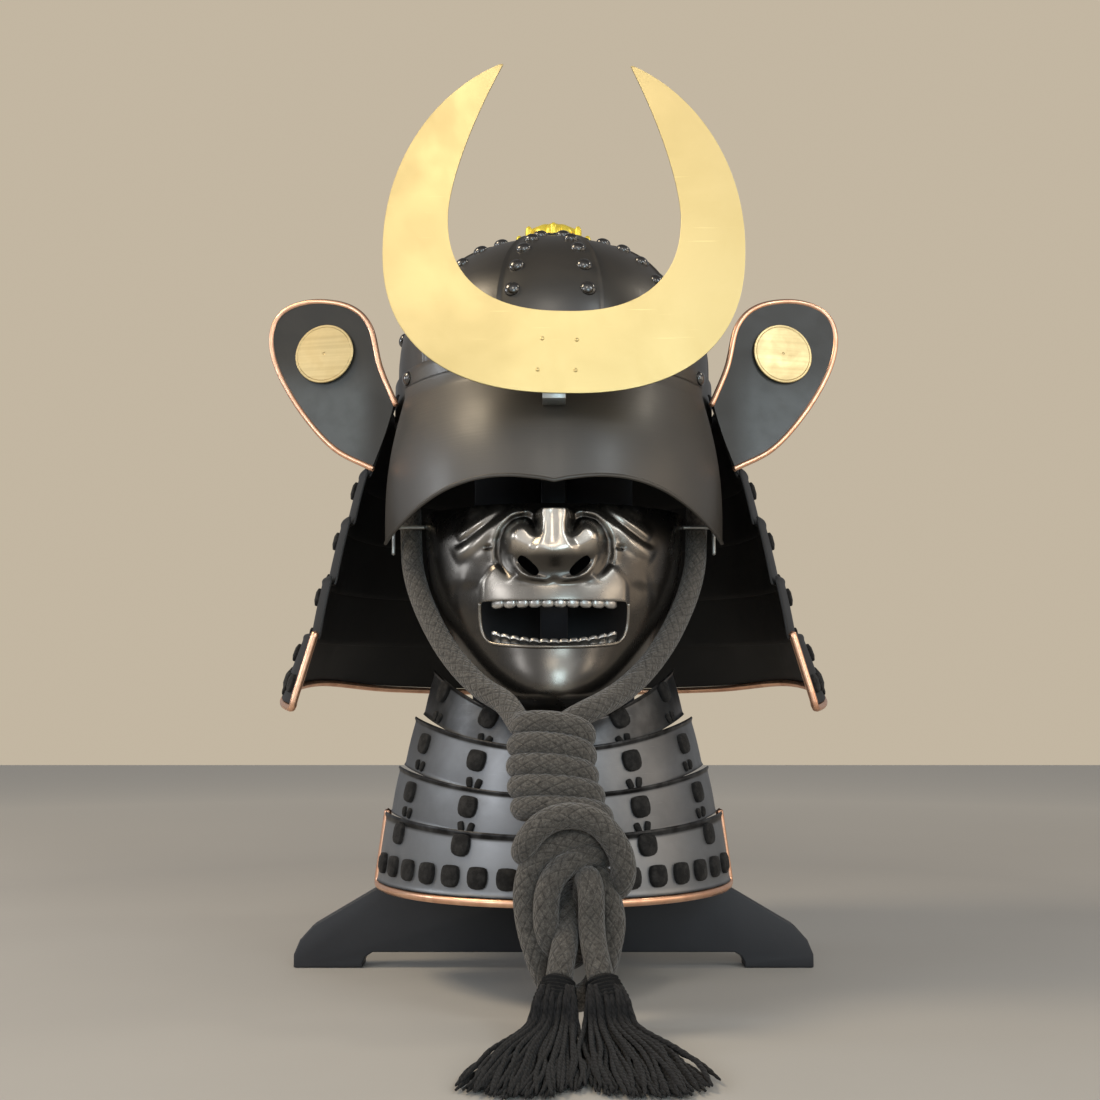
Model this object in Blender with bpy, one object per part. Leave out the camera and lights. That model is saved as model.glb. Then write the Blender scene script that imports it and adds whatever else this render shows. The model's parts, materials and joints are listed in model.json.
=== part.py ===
"""Kabuto helmet with face mask, throat guard and tied chin cord on a plain board stand.

Metres, +Z up, +X to the viewer's right, and the helmet faces -Y. The helmet is drawn
about its own middle, and an empty moves everything so that the origin is on the table
under the middle of the whole object. Azimuths are degrees round the helmet from its
front, positive towards +X. Every node is one closed body.
"""
import math

import bmesh
import bpy
from mathutils import Matrix, Vector

GAP = 0.0003
HELMET_MIDDLE_Y = -0.01335

# Bowl: an upright rim below an elliptical dome of riveted plates.
BOWL_HALF_WIDTH = 0.115
BOWL_HALF_DEPTH = 0.133
BOWL_RIM_Z = 0.392
DOME_BASE_Z = 0.437
DOME_HEIGHT = 0.098
BOWL_WALL = 0.002
SEAM_AZIMUTHS = (18, 50, 88, 126, 162)
SEAM_STEP_DEGREES = 0.7
PLATE_RISE = 0.0013
DOME_ELEVATIONS = (0, 16, 32, 49, 68, 90)
RIVET_ELEVATIONS = (12.5, 25, 37.5, 49)
RIVET_RADIUS = 0.0044
RIVET_HEIGHT = 0.0032
RIVET_SETBACK = 0.0065

# Waist band round the bowl's rim, which carries the brim and the neck guard.
BAND_WALL = 0.0017
BAND_CLEARANCE = 0.0009
BAND_LOW_Z = 0.389
BAND_HIGH_Z = 0.419
BAND_RIVET_AZIMUTHS = (60, 105, 150)
FLANGE_HIGH_Z = 0.406
FLANGE_LOW_Z = 0.398

# Brim: from the waist band out to a drooping edge with a horn at each end.
BRIM_WALL = 0.0018
BRIM_HALF_WIDTH = 0.128
BRIM_HALF_DEPTH = 0.168
BRIM_ROOT_AZIMUTH = 60
BRIM_TIP_AZIMUTH = 66
BRIM_BULGE = 0.005
BRIM_EDGE = (  # azimuth, height of the lower edge
    (0, 0.3203),
    (4, 0.3221),
    (13, 0.3245),
    (22, 0.3242),
    (32, 0.3202),
    (42, 0.3129),
    (54, 0.3027),
    (66, 0.2945),
)

# Crescent crest: outer and inner outlines about the crest's own middle.
CREST_Y = -0.1725
CREST_THICKNESS = 0.0016
CREST_WIDEST_Z = 0.470
CREST_HALF_WIDTH = 0.114
CREST_BOTTOM_Z = 0.3745
CREST_UPPER_HEIGHT = 0.130
CREST_TIP_Z = 0.5905
CREST_SQUARENESS = 2.45
CREST_HOLLOW_Z = 0.490
CREST_HOLLOW_HALF_WIDTH = 0.0735
CREST_HOLLOW_BOTTOM_Z = 0.4270
CREST_TIP_HALF_WIDTH = 0.041
CREST_SHIFT_X = 0.0045
CREST_ROLL_DEGREES = 1.0
HOLDER_WIDTH = 0.0145

# Gilt ring on the crown.
ORNAMENT_LOBES = 10
ORNAMENT_RINGS = (  # radius, z, depth of the scallops
    (0.0060, 0.5360, 0.0000),
    (0.0260, 0.5340, 0.0030),
    (0.0260, 0.5370, 0.0030),
    (0.0215, 0.5400, 0.0024),
    (0.0185, 0.5450, 0.0000),
    (0.0130, 0.5460, 0.0000),
    (0.0110, 0.5440, 0.0000),
)

# Wings beside the brim, each in a plane turned back and leaning back.
WING_HINGE = (0.1262, -0.0672, 0.3480)
WING_TURN_DEGREES = 12
WING_LEAN_DEGREES = 4.5
WING_WALL = 0.002
WING_RIM_RADIUS = 0.0021
WING_OUTLINE = (  # outward, upward from the hinge's low end
    (0.000, 0.000),
    (0.030, 0.0165),
    (0.057, 0.046),
    (0.077, 0.079),
    (0.083, 0.105),
    (0.075, 0.122),
    (0.053, 0.1285),
    (0.025, 0.123),
    (0.008, 0.107),
    (-0.0015, 0.075),
    (-0.0145, 0.046),
)
DISC_CENTRE = (0.0405, 0.0870)
DISC_RADIUS = 0.022
DISC_THICKNESS = 0.0016

# Neck guard: five lames round the sides and back, each outside the one above.
NECK_FRONT_AZIMUTH = 65
NECK_PAD_COUNT = 8
NECK_WALL = 0.0016
NECK_LEVELS = (  # half width, half depth, middle y, front z, back z: top and bottom of each lame
    ((0.1201, 0.1381, 0.000, 0.4040, 0.4040), (0.1410, 0.1510, 0.002, 0.3440, 0.3540)),
    ((0.1425, 0.1530, 0.002, 0.3500, 0.3600), (0.1525, 0.1610, 0.004, 0.3095, 0.3180)),
    ((0.1550, 0.1640, 0.004, 0.3150, 0.3240), (0.1655, 0.1710, 0.006, 0.2670, 0.2790)),
    ((0.1680, 0.1740, 0.006, 0.2730, 0.2850), (0.1765, 0.1790, 0.008, 0.2290, 0.2400)),
    ((0.1805, 0.1825, 0.008, 0.2330, 0.2460), (0.1960, 0.1870, 0.010, 0.1850, 0.2010)),
)
NECK_DROOP = (  # azimuth, lift of the bottom lame's lower edge over a straight run
    (65, 0.0000),
    (80, 0.0035),
    (96, 0.0120),
    (112, 0.0150),
    (135, 0.0085),
    (180, 0.0000),
)
NECK_RIM_RADIUS = 0.0022

# Throat guard: four lames across the front, each in front of the one above.
THROAT_END_AZIMUTH = 75
THROAT_WALL = 0.0016
THROAT_MIDDLE_Y = -0.005
THROAT_LEVELS = (  # half width, half depth, z at the middle, rise towards the ends
    ((0.0865, 0.1130, 0.1730, 0.039), (0.0945, 0.1205, 0.1510, 0.029)),
    ((0.0995, 0.1255, 0.1570, 0.021), (0.1075, 0.1310, 0.1245, 0.020)),
    ((0.1105, 0.1340, 0.1285, 0.015), (0.1165, 0.1385, 0.1000, 0.012)),
    ((0.1195, 0.1415, 0.1040, 0.008), (0.1255, 0.1470, 0.0670, -0.002)),
)
THROAT_PAD_AZIMUTHS = (-57, -28.5, 0, 28.5, 57)
THROAT_HEM_SPACING = 8.9
THROAT_HEM_COUNT = 16
THROAT_RIM_RADIUS = 0.0022

# Lacing pads, raised on the lames.
PAD_WIDTH = 0.0125
PAD_RISE = 0.0022
PAD_TAPER = 0.86

# Face mask: level sections, and the features raised on them.
MASK_WALL = 0.0018
MASK_SECTIONS = (  # z, half width at the rear edge, front y, rear y
    (0.1790, 0.016, -0.1250, -0.1080),
    (0.1830, 0.029, -0.1350, -0.0940),
    (0.1910, 0.0420, -0.1410, -0.0780),
    (0.2020, 0.0530, -0.1420, -0.0640),
    (0.2150, 0.0630, -0.1400, -0.0550),
    (0.2290, 0.0715, -0.1385, -0.0490),
    (0.2440, 0.0790, -0.1380, -0.0450),
    (0.2550, 0.0830, -0.1370, -0.0430),
    (0.2650, 0.0860, -0.1350, -0.0420),
    (0.2750, 0.0880, -0.1320, -0.0410),
    (0.2850, 0.0895, -0.1290, -0.0405),
    (0.2950, 0.0905, -0.1260, -0.0400),
    (0.3050, 0.0915, -0.1220, -0.0400),
    (0.3150, 0.0925, -0.1170, -0.0400),
)
MASK_COLUMNS = 20
MASK_FEATURES = (  # middle x, middle z, half width, half height, rise
    (0.000, 0.300, 0.013, 0.018, 0.013),
    (0.000, 0.280, 0.017, 0.013, 0.017),
    (0.023, 0.279, 0.015, 0.013, 0.012),
    (0.038, 0.283, 0.006, 0.018, -0.003),
    (0.050, 0.300, 0.020, 0.007, 0.005),
    (0.043, 0.258, 0.014, 0.009, 0.003),
    (0.000, 0.257, 0.040, 0.006, 0.003),
    (0.000, 0.219, 0.044, 0.003, 0.002),
)
MOUTH_HALF_WIDTH = 0.0475
MOUTH_HIGH_Z = 0.2490
MOUTH_LOW_Z = 0.2210
NOSTRIL_X = 0.0165
NOSTRIL_Z = 0.2690
TOOTH_COUNT = 10
TEETH_HALF_WIDTH = 0.0405
HOOK_Z = 0.3075
HOOK_REACH = 0.0215
HOOK_DROP = 0.0190
HOOK_RADIUS = 0.0014

# Chin cord.
CORD_RADIUS = 0.0075
ANCHOR_LENGTH = 0.009
ANCHOR_TOP_RADIUS = 0.004
CORD_LEG_ROUTE = (  # right leg, from the helmet's rim to the knot
    (0.1060, -0.0400, 0.3824),
    (0.1042, -0.0430, 0.3530),
    (0.1020, -0.0480, 0.3240),
    (0.1004, -0.0530, 0.2990),
    (0.0985, -0.0590, 0.2800),
    (0.0925, -0.0690, 0.2600),
    (0.0830, -0.0830, 0.2400),
    (0.0720, -0.0980, 0.2220),
    (0.0590, -0.1130, 0.2060),
    (0.0445, -0.1290, 0.1930),
    (0.0300, -0.1440, 0.1840),
)
KNOT_RINGS = (  # middle x, middle y, z, half width, half depth
    (-0.0010, -0.1600, 0.1850, 0.0190, 0.0130),
    (-0.0010, -0.1620, 0.1780, 0.0270, 0.0180),
    (-0.0015, -0.1650, 0.1640, 0.0275, 0.0205),
    (-0.0010, -0.1690, 0.1400, 0.0285, 0.0215),
    (0.0050, -0.1730, 0.1160, 0.0310, 0.0220),
    (0.0100, -0.1770, 0.0970, 0.0335, 0.0230),
    (0.0105, -0.1790, 0.0870, 0.0300, 0.0180),
)
OUTER_LOOP_ROUTE = (
    (-0.0135, -0.1860, 0.0790),
    (-0.0165, -0.1870, 0.0640),
    (-0.0145, -0.1870, 0.0480),
    (-0.0090, -0.1870, 0.0330),
    (0.0000, -0.1870, 0.0205),
    (0.0110, -0.1870, 0.0160),
    (0.0220, -0.1870, 0.0215),
    (0.0295, -0.1870, 0.0370),
    (0.0335, -0.1870, 0.0550),
    (0.0310, -0.1860, 0.0790),
)
INNER_LOOP_ROUTE = (
    (0.0035, -0.1860, 0.0790),
    (0.0005, -0.1870, 0.0640),
    (0.0015, -0.1870, 0.0490),
    (0.0085, -0.1870, 0.0390),
    (0.0155, -0.1870, 0.0490),
    (0.0165, -0.1870, 0.0640),
    (0.0150, -0.1860, 0.0790),
)
TAIL_ROUTES = {
    "left": (
        (0.0050, -0.2028, 0.0850),
        (0.0050, -0.2030, 0.0700),
        (0.0045, -0.2035, 0.0550),
        (0.0030, -0.2060, 0.0430),
        (0.0000, -0.2100, 0.0330),
    ),
    "right": (
        (0.0210, -0.2028, 0.0850),
        (0.0215, -0.2030, 0.0700),
        (0.0230, -0.2035, 0.0550),
        (0.0255, -0.2060, 0.0430),
        (0.0290, -0.2100, 0.0330),
    ),
}
LEG_STEP = 0.030
LOOP_STEP = 0.014
TAIL_STEP = 0.015
TASSEL_LOCKS = 5
TASSEL_LOCK_RADIUS = 0.0070
TASSEL_REACH_Y = 0.118
TASSEL_SPREAD = 0.030

# Stand: two boards slotted into each other.
BOARD = 0.018
SLOT = BOARD + 2 * GAP
SLOT_MEET_Z = 0.270
UPRIGHT_HALF = 0.059
CROWN_CLEARANCE = 0.0025
FOOT_PROFILE = (  # distance in from the foot's end, height
    (0.0000, 0.0000),
    (0.0000, 0.0090),
    (0.0040, 0.0190),
    (0.0130, 0.0290),
    (0.0285, 0.0380),
    (0.0560, 0.0540),
    (0.1000, 0.0790),
)
CROSS_FOOT_END = 0.1845
FORE_FOOT_END = 0.1400
ARCH_HEIGHT = 0.0106
FOOT_LENGTH = 0.049
MASK_PROP = (  # y, z of the tongue that reaches behind the mask
    (-0.0590, 0.2000),
    (-0.1050, 0.2280),
    (-0.1270, 0.2520),
    (-0.1270, 0.2600),
    (-0.0590, 0.2950),
)


# ---------------------------------------------------------------- scene helpers

def clear_scene():
    for obj in list(bpy.data.objects):
        bpy.data.objects.remove(obj)


def new_collection(name):
    collection = bpy.data.collections.new(name)
    bpy.context.scene.collection.children.link(collection)
    return collection


def new_material(name, colour, roughness, metallic=0.0):
    material = bpy.data.materials.new(name)
    material.use_nodes = True
    shader = material.node_tree.nodes["Principled BSDF"]
    shader.inputs["Base Color"].default_value = (*colour, 1.0)
    shader.inputs["Roughness"].default_value = roughness
    shader.inputs["Metallic"].default_value = metallic
    return material


def new_object(name, data, material, crease_degrees=40):
    obj = bpy.data.objects.new(name, data)
    PIECES.objects.link(obj)
    obj.parent = MIDDLE
    data.materials.append(material)
    if isinstance(data, bpy.types.Mesh):
        data.shade_smooth()
        data.set_sharp_from_angle(angle=math.radians(crease_degrees))
    return obj


def mesh_object(name, shape, material):
    """Object from a bmesh, which is freed."""
    mesh = bpy.data.meshes.new(name)
    shape.to_mesh(mesh)
    shape.free()
    return new_object(name, mesh, material)


def combine(obj, shape, name, operation):
    """Join a bmesh to an object, or cut it out, with a live Boolean."""
    mesh = bpy.data.meshes.new(name)
    shape.to_mesh(mesh)
    shape.free()
    tool = bpy.data.objects.new(name, mesh)
    CUTTERS.objects.link(tool)
    tool.parent = MIDDLE
    tool.hide_render = True
    tool.display_type = "WIRE"
    modifier = obj.modifiers.new(name, "BOOLEAN")
    modifier.operation = operation
    modifier.object = tool


def tube(name, points, radius, material, resolution=1):
    """Round bar, cord or rim along the points, with closed ends."""
    curve = bpy.data.curves.new(name, "CURVE")
    curve.dimensions = "3D"
    curve.bevel_depth = radius
    curve.bevel_resolution = resolution
    curve.use_fill_caps = True
    spline = curve.splines.new("POLY")
    spline.points.add(len(points) - 1)
    for slot, point in zip(spline.points, points):
        slot.co = (*point, 1.0)
    return new_object(name, curve, material)


def flat_plate(name, outline, thickness, place, material):
    """Plate from a closed outline in the plane of the first two axes of place."""
    curve = bpy.data.curves.new(name, "CURVE")
    curve.dimensions = "2D"
    curve.fill_mode = "BOTH"
    curve.extrude = thickness / 2
    spline = curve.splines.new("POLY")
    spline.points.add(len(outline) - 1)
    for slot, (across, up) in zip(spline.points, outline):
        slot.co = (across, up, 0.0, 1.0)
    spline.use_cyclic_u = True
    plate = new_object(name, curve, material)
    plate.matrix_local = place
    return plate


# ---------------------------------------------------------------- shape helpers

def round_the_head(half_width, half_depth, azimuth, z, middle_y=0.0):
    """Point on a level ellipse round the head."""
    angle = math.radians(azimuth)
    x = half_width * math.sin(angle)
    y = middle_y - half_depth * math.cos(angle)
    return Vector((x, y, z))


def evenly(first, last, count):
    """Values from first to last in count equal steps."""
    return [first + (last - first) * index / count for index in range(count + 1)]


def blend(low, high, share):
    return [a + (b - a) * share for a, b in zip(low, high)]


def read_table(table, value):
    """Row of a table at a value of its first column, eased between its rows."""
    rows = sorted(table)
    if value <= rows[0][0]:
        return rows[0][1:]
    for low, high in zip(rows, rows[1:]):
        if value <= high[0]:
            share = (value - low[0]) / (high[0] - low[0])
            return blend(low[1:], high[1:], share)
    return rows[-1][1:]


def spline_point(before, start, end, after, share):
    """Catmull-Rom point between start and end."""
    square = share * share
    cube = square * share
    return 0.5 * (2 * start + (end - before) * share
                  + (2 * before - 5 * start + 4 * end - after) * square
                  + (3 * start - before - 3 * end + after) * cube)


def smooth_line(points, steps):
    """Points on a smooth curve through the given ones, steps to each stretch."""
    knots = [Vector(point) for point in points]
    knots = [2 * knots[0] - knots[1]] + knots + [2 * knots[-1] - knots[-2]]
    line = []
    for index in range(1, len(knots) - 2):
        for step in range(steps):
            line.append(spline_point(*knots[index - 1:index + 3], step / steps))
    return line + [knots[-2]]


def even_line(points, spacing):
    """The smooth curve through the points, with a point at each spacing along it."""
    fine = smooth_line(points, 24)
    reach = [0.0]
    for start, end in zip(fine, fine[1:]):
        reach.append(reach[-1] + (end - start).length)
    count = max(2, round(reach[-1] / spacing))
    line = []
    index = 0
    for goal in evenly(0.0, reach[-1], count):
        while index < len(fine) - 2 and reach[index + 1] < goal:
            index += 1
        share = (goal - reach[index]) / (reach[index + 1] - reach[index])
        line.append(fine[index].lerp(fine[index + 1], share))
    return line


def inset_line(points, distance):
    """The open line moved to its left by the distance, as a plate's edge inside its rim."""
    line = [Vector(point) for point in points]
    moved = []
    for index, point in enumerate(line):
        ahead = line[min(index + 1, len(line) - 1)]
        behind = line[max(index - 1, 0)]
        along = (ahead - behind).normalized()
        moved.append(point + Vector((-along.y, along.x)) * distance)
    return moved


def sheet(columns, rows, place):
    """Grid with a corner at place(column, row) for every column and row value.

    Its front is outward where columns run towards +X at the front and rows run upward.
    The second result gives each face by its column and row number.
    """
    shape = bmesh.new()
    across = len(columns) - 1
    up = len(rows) - 1
    bmesh.ops.create_grid(shape, x_segments=across, y_segments=up, size=0.5)
    cells = {}
    for face in shape.faces:
        middle = face.calc_center_median()
        column = math.floor((middle.x + 0.5) * across)
        row = math.floor((middle.y + 0.5) * up)
        cells[column, row] = face
    for corner in shape.verts:
        column = round((corner.co.x + 0.5) * across)
        row = round((corner.co.y + 0.5) * up)
        corner.co = place(columns[column], rows[row])
    shape.normal_update()
    return shape, cells


def thicken(shape, wall):
    """Give an open sheet a wall behind its front."""
    bmesh.ops.remove_doubles(shape, verts=shape.verts, dist=1e-6)
    bmesh.ops.solidify(shape, geom=shape.faces, thickness=wall)
    bmesh.ops.recalc_face_normals(shape, faces=shape.faces)


def raise_pads(shape, faces):
    """Raise each face as a pad with sloping sides."""
    shape.normal_update()
    raised = bmesh.ops.extrude_discrete_faces(shape, faces=faces)["faces"]
    for face in raised:
        middle = face.calc_center_median()
        lift = face.normal * PAD_RISE
        for corner in face.verts:
            corner.co = middle + (corner.co - middle) * PAD_TAPER + lift


def skin(shape, loops):
    """Close a solid round loops of the same number of corners."""
    for low, high in zip(loops, loops[1:]):
        for index in range(len(low)):
            after = (index + 1) % len(low)
            shape.faces.new((low[index], low[after], high[after], high[index]))
    shape.faces.new(loops[0])
    shape.faces.new(loops[-1])
    bmesh.ops.recalc_face_normals(shape, faces=shape.faces)


def stud(shape, point, outward, radius, height, sides=5):
    """Low rivet head standing on a surface, sunk a little into it."""
    sunk = 0.0019
    turn = outward.to_track_quat("Z", "Y").to_matrix().to_4x4()
    middle = point + outward * (height - sunk) / 2
    bmesh.ops.create_cone(shape, cap_ends=True, segments=sides, radius1=radius,
                          radius2=radius * 0.6, depth=height + sunk,
                          matrix=Matrix.Translation(middle) @ turn)


# ---------------------------------------------------------------- bowl and band

def plate_rise(azimuth):
    """How far the plate stands out here: each plate rises towards the seam behind it."""
    away = abs(azimuth)
    if away <= SEAM_AZIMUTHS[0]:
        return 1.0
    for start, end in zip(SEAM_AZIMUTHS, SEAM_AZIMUTHS[1:]):
        if away <= end:
            first = start + SEAM_STEP_DEGREES
            return max(0.0, (away - first) / (end - first))
    return 0.0


def bowl_point(azimuth, row):
    """Outer face of the bowl: row -1 is the rim, 0 the dome's base, 90 the crown."""
    elevation = math.radians(max(row, 0))
    proud = PLATE_RISE * plate_rise(azimuth) * min(1.0, 2 * math.cos(elevation))
    reach = math.cos(elevation)
    z = DOME_BASE_Z + min(row, 0) * (DOME_BASE_Z - BOWL_RIM_Z)
    z += (DOME_HEIGHT + proud) * math.sin(elevation)
    return round_the_head((BOWL_HALF_WIDTH + proud) * reach, (BOWL_HALF_DEPTH + proud) * reach,
                          azimuth, z)


def bowl_columns():
    """Azimuths right round: both sides of each seam and three spans to a plate."""
    half = evenly(0, SEAM_AZIMUTHS[0], 2)
    edges = [*SEAM_AZIMUTHS, 180]
    for start, end in zip(edges, edges[1:]):
        first = start + SEAM_STEP_DEGREES
        spans = 3 if end < 180 else 2
        half.extend(evenly(first, end, spans))
    return [-azimuth for azimuth in reversed(half[1:])] + half


def surface_normal(place, azimuth, row):
    step = 0.5
    across = place(azimuth + step, row) - place(azimuth - step, row)
    up = place(azimuth, row + step) - place(azimuth, row - step)
    return across.cross(up).normalized()


def bowl_rivets():
    """A line of rivets just in front of each seam."""
    rivets = bmesh.new()
    for seam in SEAM_AZIMUTHS:
        for elevation in RIVET_ELEVATIONS:
            radius = BOWL_HALF_DEPTH * math.cos(math.radians(elevation))
            azimuth = seam - math.degrees(RIVET_SETBACK / radius)
            for side in (-1, 1):
                point = bowl_point(side * azimuth, elevation)
                outward = surface_normal(bowl_point, side * azimuth, elevation)
                stud(rivets, point, outward, RIVET_RADIUS, RIVET_HEIGHT)
    return rivets


def build_bowl():
    shape, _ = sheet(bowl_columns(), [-1, *DOME_ELEVATIONS], bowl_point)
    thicken(shape, BOWL_WALL)
    bowl = mesh_object("bowl", shape, LACQUER)
    combine(bowl, bowl_rivets(), "bowl_rivets", "UNION")


def build_waist_band():
    half_width = BOWL_HALF_WIDTH + PLATE_RISE + BAND_CLEARANCE + BAND_WALL
    half_depth = BOWL_HALF_DEPTH + PLATE_RISE + BAND_CLEARANCE + BAND_WALL

    def band_point(azimuth, z):
        return round_the_head(half_width, half_depth, azimuth, z)

    shape, _ = sheet(evenly(-180, 180, 30), [BAND_LOW_Z, BAND_HIGH_Z], band_point)
    thicken(shape, BAND_WALL)
    band = mesh_object("waist_band", shape, LACQUER)
    rivets = bmesh.new()
    for azimuth in BAND_RIVET_AZIMUTHS:
        for side in (-1, 1):
            point = band_point(side * azimuth, BAND_HIGH_Z - 0.0065)
            outward = Vector((point.x, point.y, 0)).normalized()
            stud(rivets, point, outward, RIVET_RADIUS, RIVET_HEIGHT)
    combine(band, rivets, "band_rivets", "UNION")
    return half_width, half_depth


# ---------------------------------------------------------------- brim and crest

def brim_point(share, row):
    """Outer face of the brim: share -1 to 1 across it, row 0 its edge, 1 its root, 2 its flange."""
    root_z = FLANGE_LOW_Z if row <= 1 else FLANGE_HIGH_Z
    root = round_the_head(BAND_OUT[0] + GAP + BRIM_WALL, BAND_OUT[1] + GAP + BRIM_WALL,
                          share * BRIM_ROOT_AZIMUTH, root_z)
    if row >= 1:
        return root
    azimuth = share * BRIM_TIP_AZIMUTH
    edge_z = read_table(BRIM_EDGE, abs(azimuth))[0]
    edge = round_the_head(BRIM_HALF_WIDTH, BRIM_HALF_DEPTH, azimuth, edge_z)
    outward = Vector((edge.x, edge.y, 0)).normalized()
    return edge.lerp(root, row) + outward * BRIM_BULGE * math.sin(math.pi * row)


def build_brim():
    shape, _ = sheet(evenly(-1, 1, 20), [0, 0.33, 0.67, 1, 2], brim_point)
    thicken(shape, BRIM_WALL)
    mesh_object("brim", shape, LACQUER)


def crest_quarter(half_width, height, squareness, count):
    """Quarter of a rounded oval, from its widest point to its end."""
    quarter = []
    for index in range(count + 1):
        angle = math.pi / 2 * index / count
        across = half_width * math.cos(angle) ** (2 / squareness)
        along = height * math.sin(angle) ** (2 / squareness)
        quarter.append((across, along))
    return quarter


def crest_outline():
    """Crescent: the outer oval up to the tips, and back along the hollow's edge."""
    below = crest_quarter(CREST_HALF_WIDTH, CREST_WIDEST_Z - CREST_BOTTOM_Z, CREST_SQUARENESS, 8)
    right = [(x, CREST_WIDEST_Z - down) for x, down in reversed(below)]
    tip = CREST_TIP_Z - CREST_WIDEST_Z
    for rise in evenly(0.0, tip, 8)[1:]:
        bulge = math.sqrt(1 - (rise / CREST_UPPER_HEIGHT) ** 2)
        right.append((CREST_HALF_WIDTH * bulge, CREST_WIDEST_Z + rise))
    hollow = CREST_TIP_Z - CREST_HOLLOW_Z
    for rise in reversed(evenly(0.0, hollow, 6)[1:]):
        narrowing = (CREST_HOLLOW_HALF_WIDTH - CREST_TIP_HALF_WIDTH) * (rise / hollow) ** 1.5
        right.append((CREST_HOLLOW_HALF_WIDTH - narrowing, CREST_HOLLOW_Z + rise))
    inner = crest_quarter(CREST_HOLLOW_HALF_WIDTH, CREST_HOLLOW_Z - CREST_HOLLOW_BOTTOM_Z,
                          CREST_SQUARENESS, 7)
    right.extend((x, CREST_HOLLOW_Z - down) for x, down in inner)
    left = [(-x, z) for x, z in reversed(right[1:-1])]
    return right + left


def upright(x=0.0, y=0.0, z=0.0):
    """Place for a plate drawn in x and z, facing the viewer."""
    return Matrix.Translation((x, y, z)) @ Matrix.Rotation(math.radians(90), 4, "X")


def build_crest():
    turn = Matrix.Rotation(math.radians(CREST_ROLL_DEGREES), 4, "Y")
    about = Matrix.Translation((0, 0, CREST_BOTTOM_Z))
    place = Matrix.Translation((CREST_SHIFT_X, CREST_Y, 0)) @ about @ turn @ about.inverted()
    flat_plate("crest_crescent", crest_outline(), CREST_THICKNESS, place @ upright(), BRASS)
    back = CREST_Y + CREST_THICKNESS / 2 + GAP
    bracket = (  # y, z
        (back, 0.3715),
        (-0.1537, 0.3715),
        (-0.1525, 0.3740),
        (back + 0.002, 0.3740),
        (back + 0.002, 0.4080),
        (back, 0.4080),
    )
    side_on = Matrix(((0, 0, 1, 0), (1, 0, 0, 0), (0, 1, 0, 0), (0, 0, 0, 1)))
    flat_plate("crest_holder", bracket, HOLDER_WIDTH, side_on, IRON)


def build_top_ornament():
    """Scalloped gilt ring, stepped up to a plain collar with a sunk middle."""
    shape = bmesh.new()
    sides = 2 * ORNAMENT_LOBES
    loops = []
    for radius, z, scallop in ORNAMENT_RINGS:
        loop = []
        for index in range(sides):
            reach = radius - scallop * (index % 2)
            loop.append(shape.verts.new(round_the_head(reach, reach, 360 * index / sides, z)))
        loops.append(loop)
    skin(shape, loops)
    mesh_object("top_ornament", shape, GILT)


# ---------------------------------------------------------------- wings

def wing_place(side):
    """Frame of a wing's plane: its first axis points to +X and its face to the viewer."""
    turn = math.radians(WING_TURN_DEGREES)
    lean = math.radians(WING_LEAN_DEGREES)
    across = Vector((math.cos(turn), side * math.sin(turn), 0))
    up = Vector((0, math.sin(lean), math.cos(lean)))
    face = across.cross(up).normalized()
    up = face.cross(across)
    hinge = Vector((side * WING_HINGE[0], WING_HINGE[1], WING_HINGE[2]))
    place = Matrix((across, up, face)).transposed().to_4x4()
    place.translation = hinge
    return place


def build_wing(side, word):
    place = wing_place(side)
    edge = smooth_line([(across, up, 0) for across, up in WING_OUTLINE], 2)
    outline = inset_line([point.xy for point in edge], WING_RIM_RADIUS + GAP)
    plate_outline = [(side * point.x, point.y) for point in outline]
    flat_plate(f"wing_{word}", plate_outline, WING_WALL, place, WING_BLACK)
    rim = [place @ Vector((side * point.x, point.y, 0)) for point in edge]
    tube(f"wing_rim_{word}", rim, WING_RIM_RADIUS, COPPER)
    lift = WING_WALL / 2 + GAP + DISC_THICKNESS / 2
    centre = place @ Vector((side * DISC_CENTRE[0], DISC_CENTRE[1], lift))
    disc = bmesh.new()
    bmesh.ops.create_cone(disc, cap_ends=True, segments=20, radius1=DISC_RADIUS,
                          radius2=DISC_RADIUS, depth=DISC_THICKNESS)
    turned = place.copy()
    turned.translation = centre
    disc_object = mesh_object(f"wing_disc_{word}", disc, BRASS)
    disc_object.matrix_local = turned


# ---------------------------------------------------------------- neck guard

def neck_point(number, azimuth, row):
    """Outer face of a neck lame: row 0 its lower edge, 1 its upper edge."""
    away = abs(azimuth)
    to_back = (away - NECK_FRONT_AZIMUTH) / (180 - NECK_FRONT_AZIMUTH)
    top, bottom = NECK_LEVELS[number]
    half_width, half_depth, middle_y, front_z, back_z = blend(bottom, top, row)
    z = front_z + (back_z - front_z) * to_back
    if number == len(NECK_LEVELS) - 1:
        z += read_table(NECK_DROOP, away)[0] * (1 - row)
    return round_the_head(half_width + NECK_WALL, half_depth + NECK_WALL, azimuth, z, middle_y)


def pad_edges(azimuths, radius, first, last, spans):
    """Column azimuths with a pad's width at each given azimuth and spans between."""
    half = math.degrees(PAD_WIDTH / radius) / 2
    columns = [first]
    pads = []
    for azimuth in azimuths:
        gap = evenly(columns[-1], azimuth - half, spans if len(columns) > 1 else 1)
        columns.extend(gap[1:])
        pads.append(len(columns) - 1)
        columns.append(azimuth + half)
    columns.append(last)
    return columns, pads


def neck_columns(number):
    """Azimuths right round the back, from 0 at the front, and the pads' columns."""
    first = NECK_FRONT_AZIMUTH
    last = 360 - NECK_FRONT_AZIMUTH
    step = (last - first) / NECK_PAD_COUNT
    azimuths = [first + step * (index + 0.5) for index in range(NECK_PAD_COUNT)]
    return pad_edges(azimuths, NECK_LEVELS[number][0][0], first, last, 2)


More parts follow.
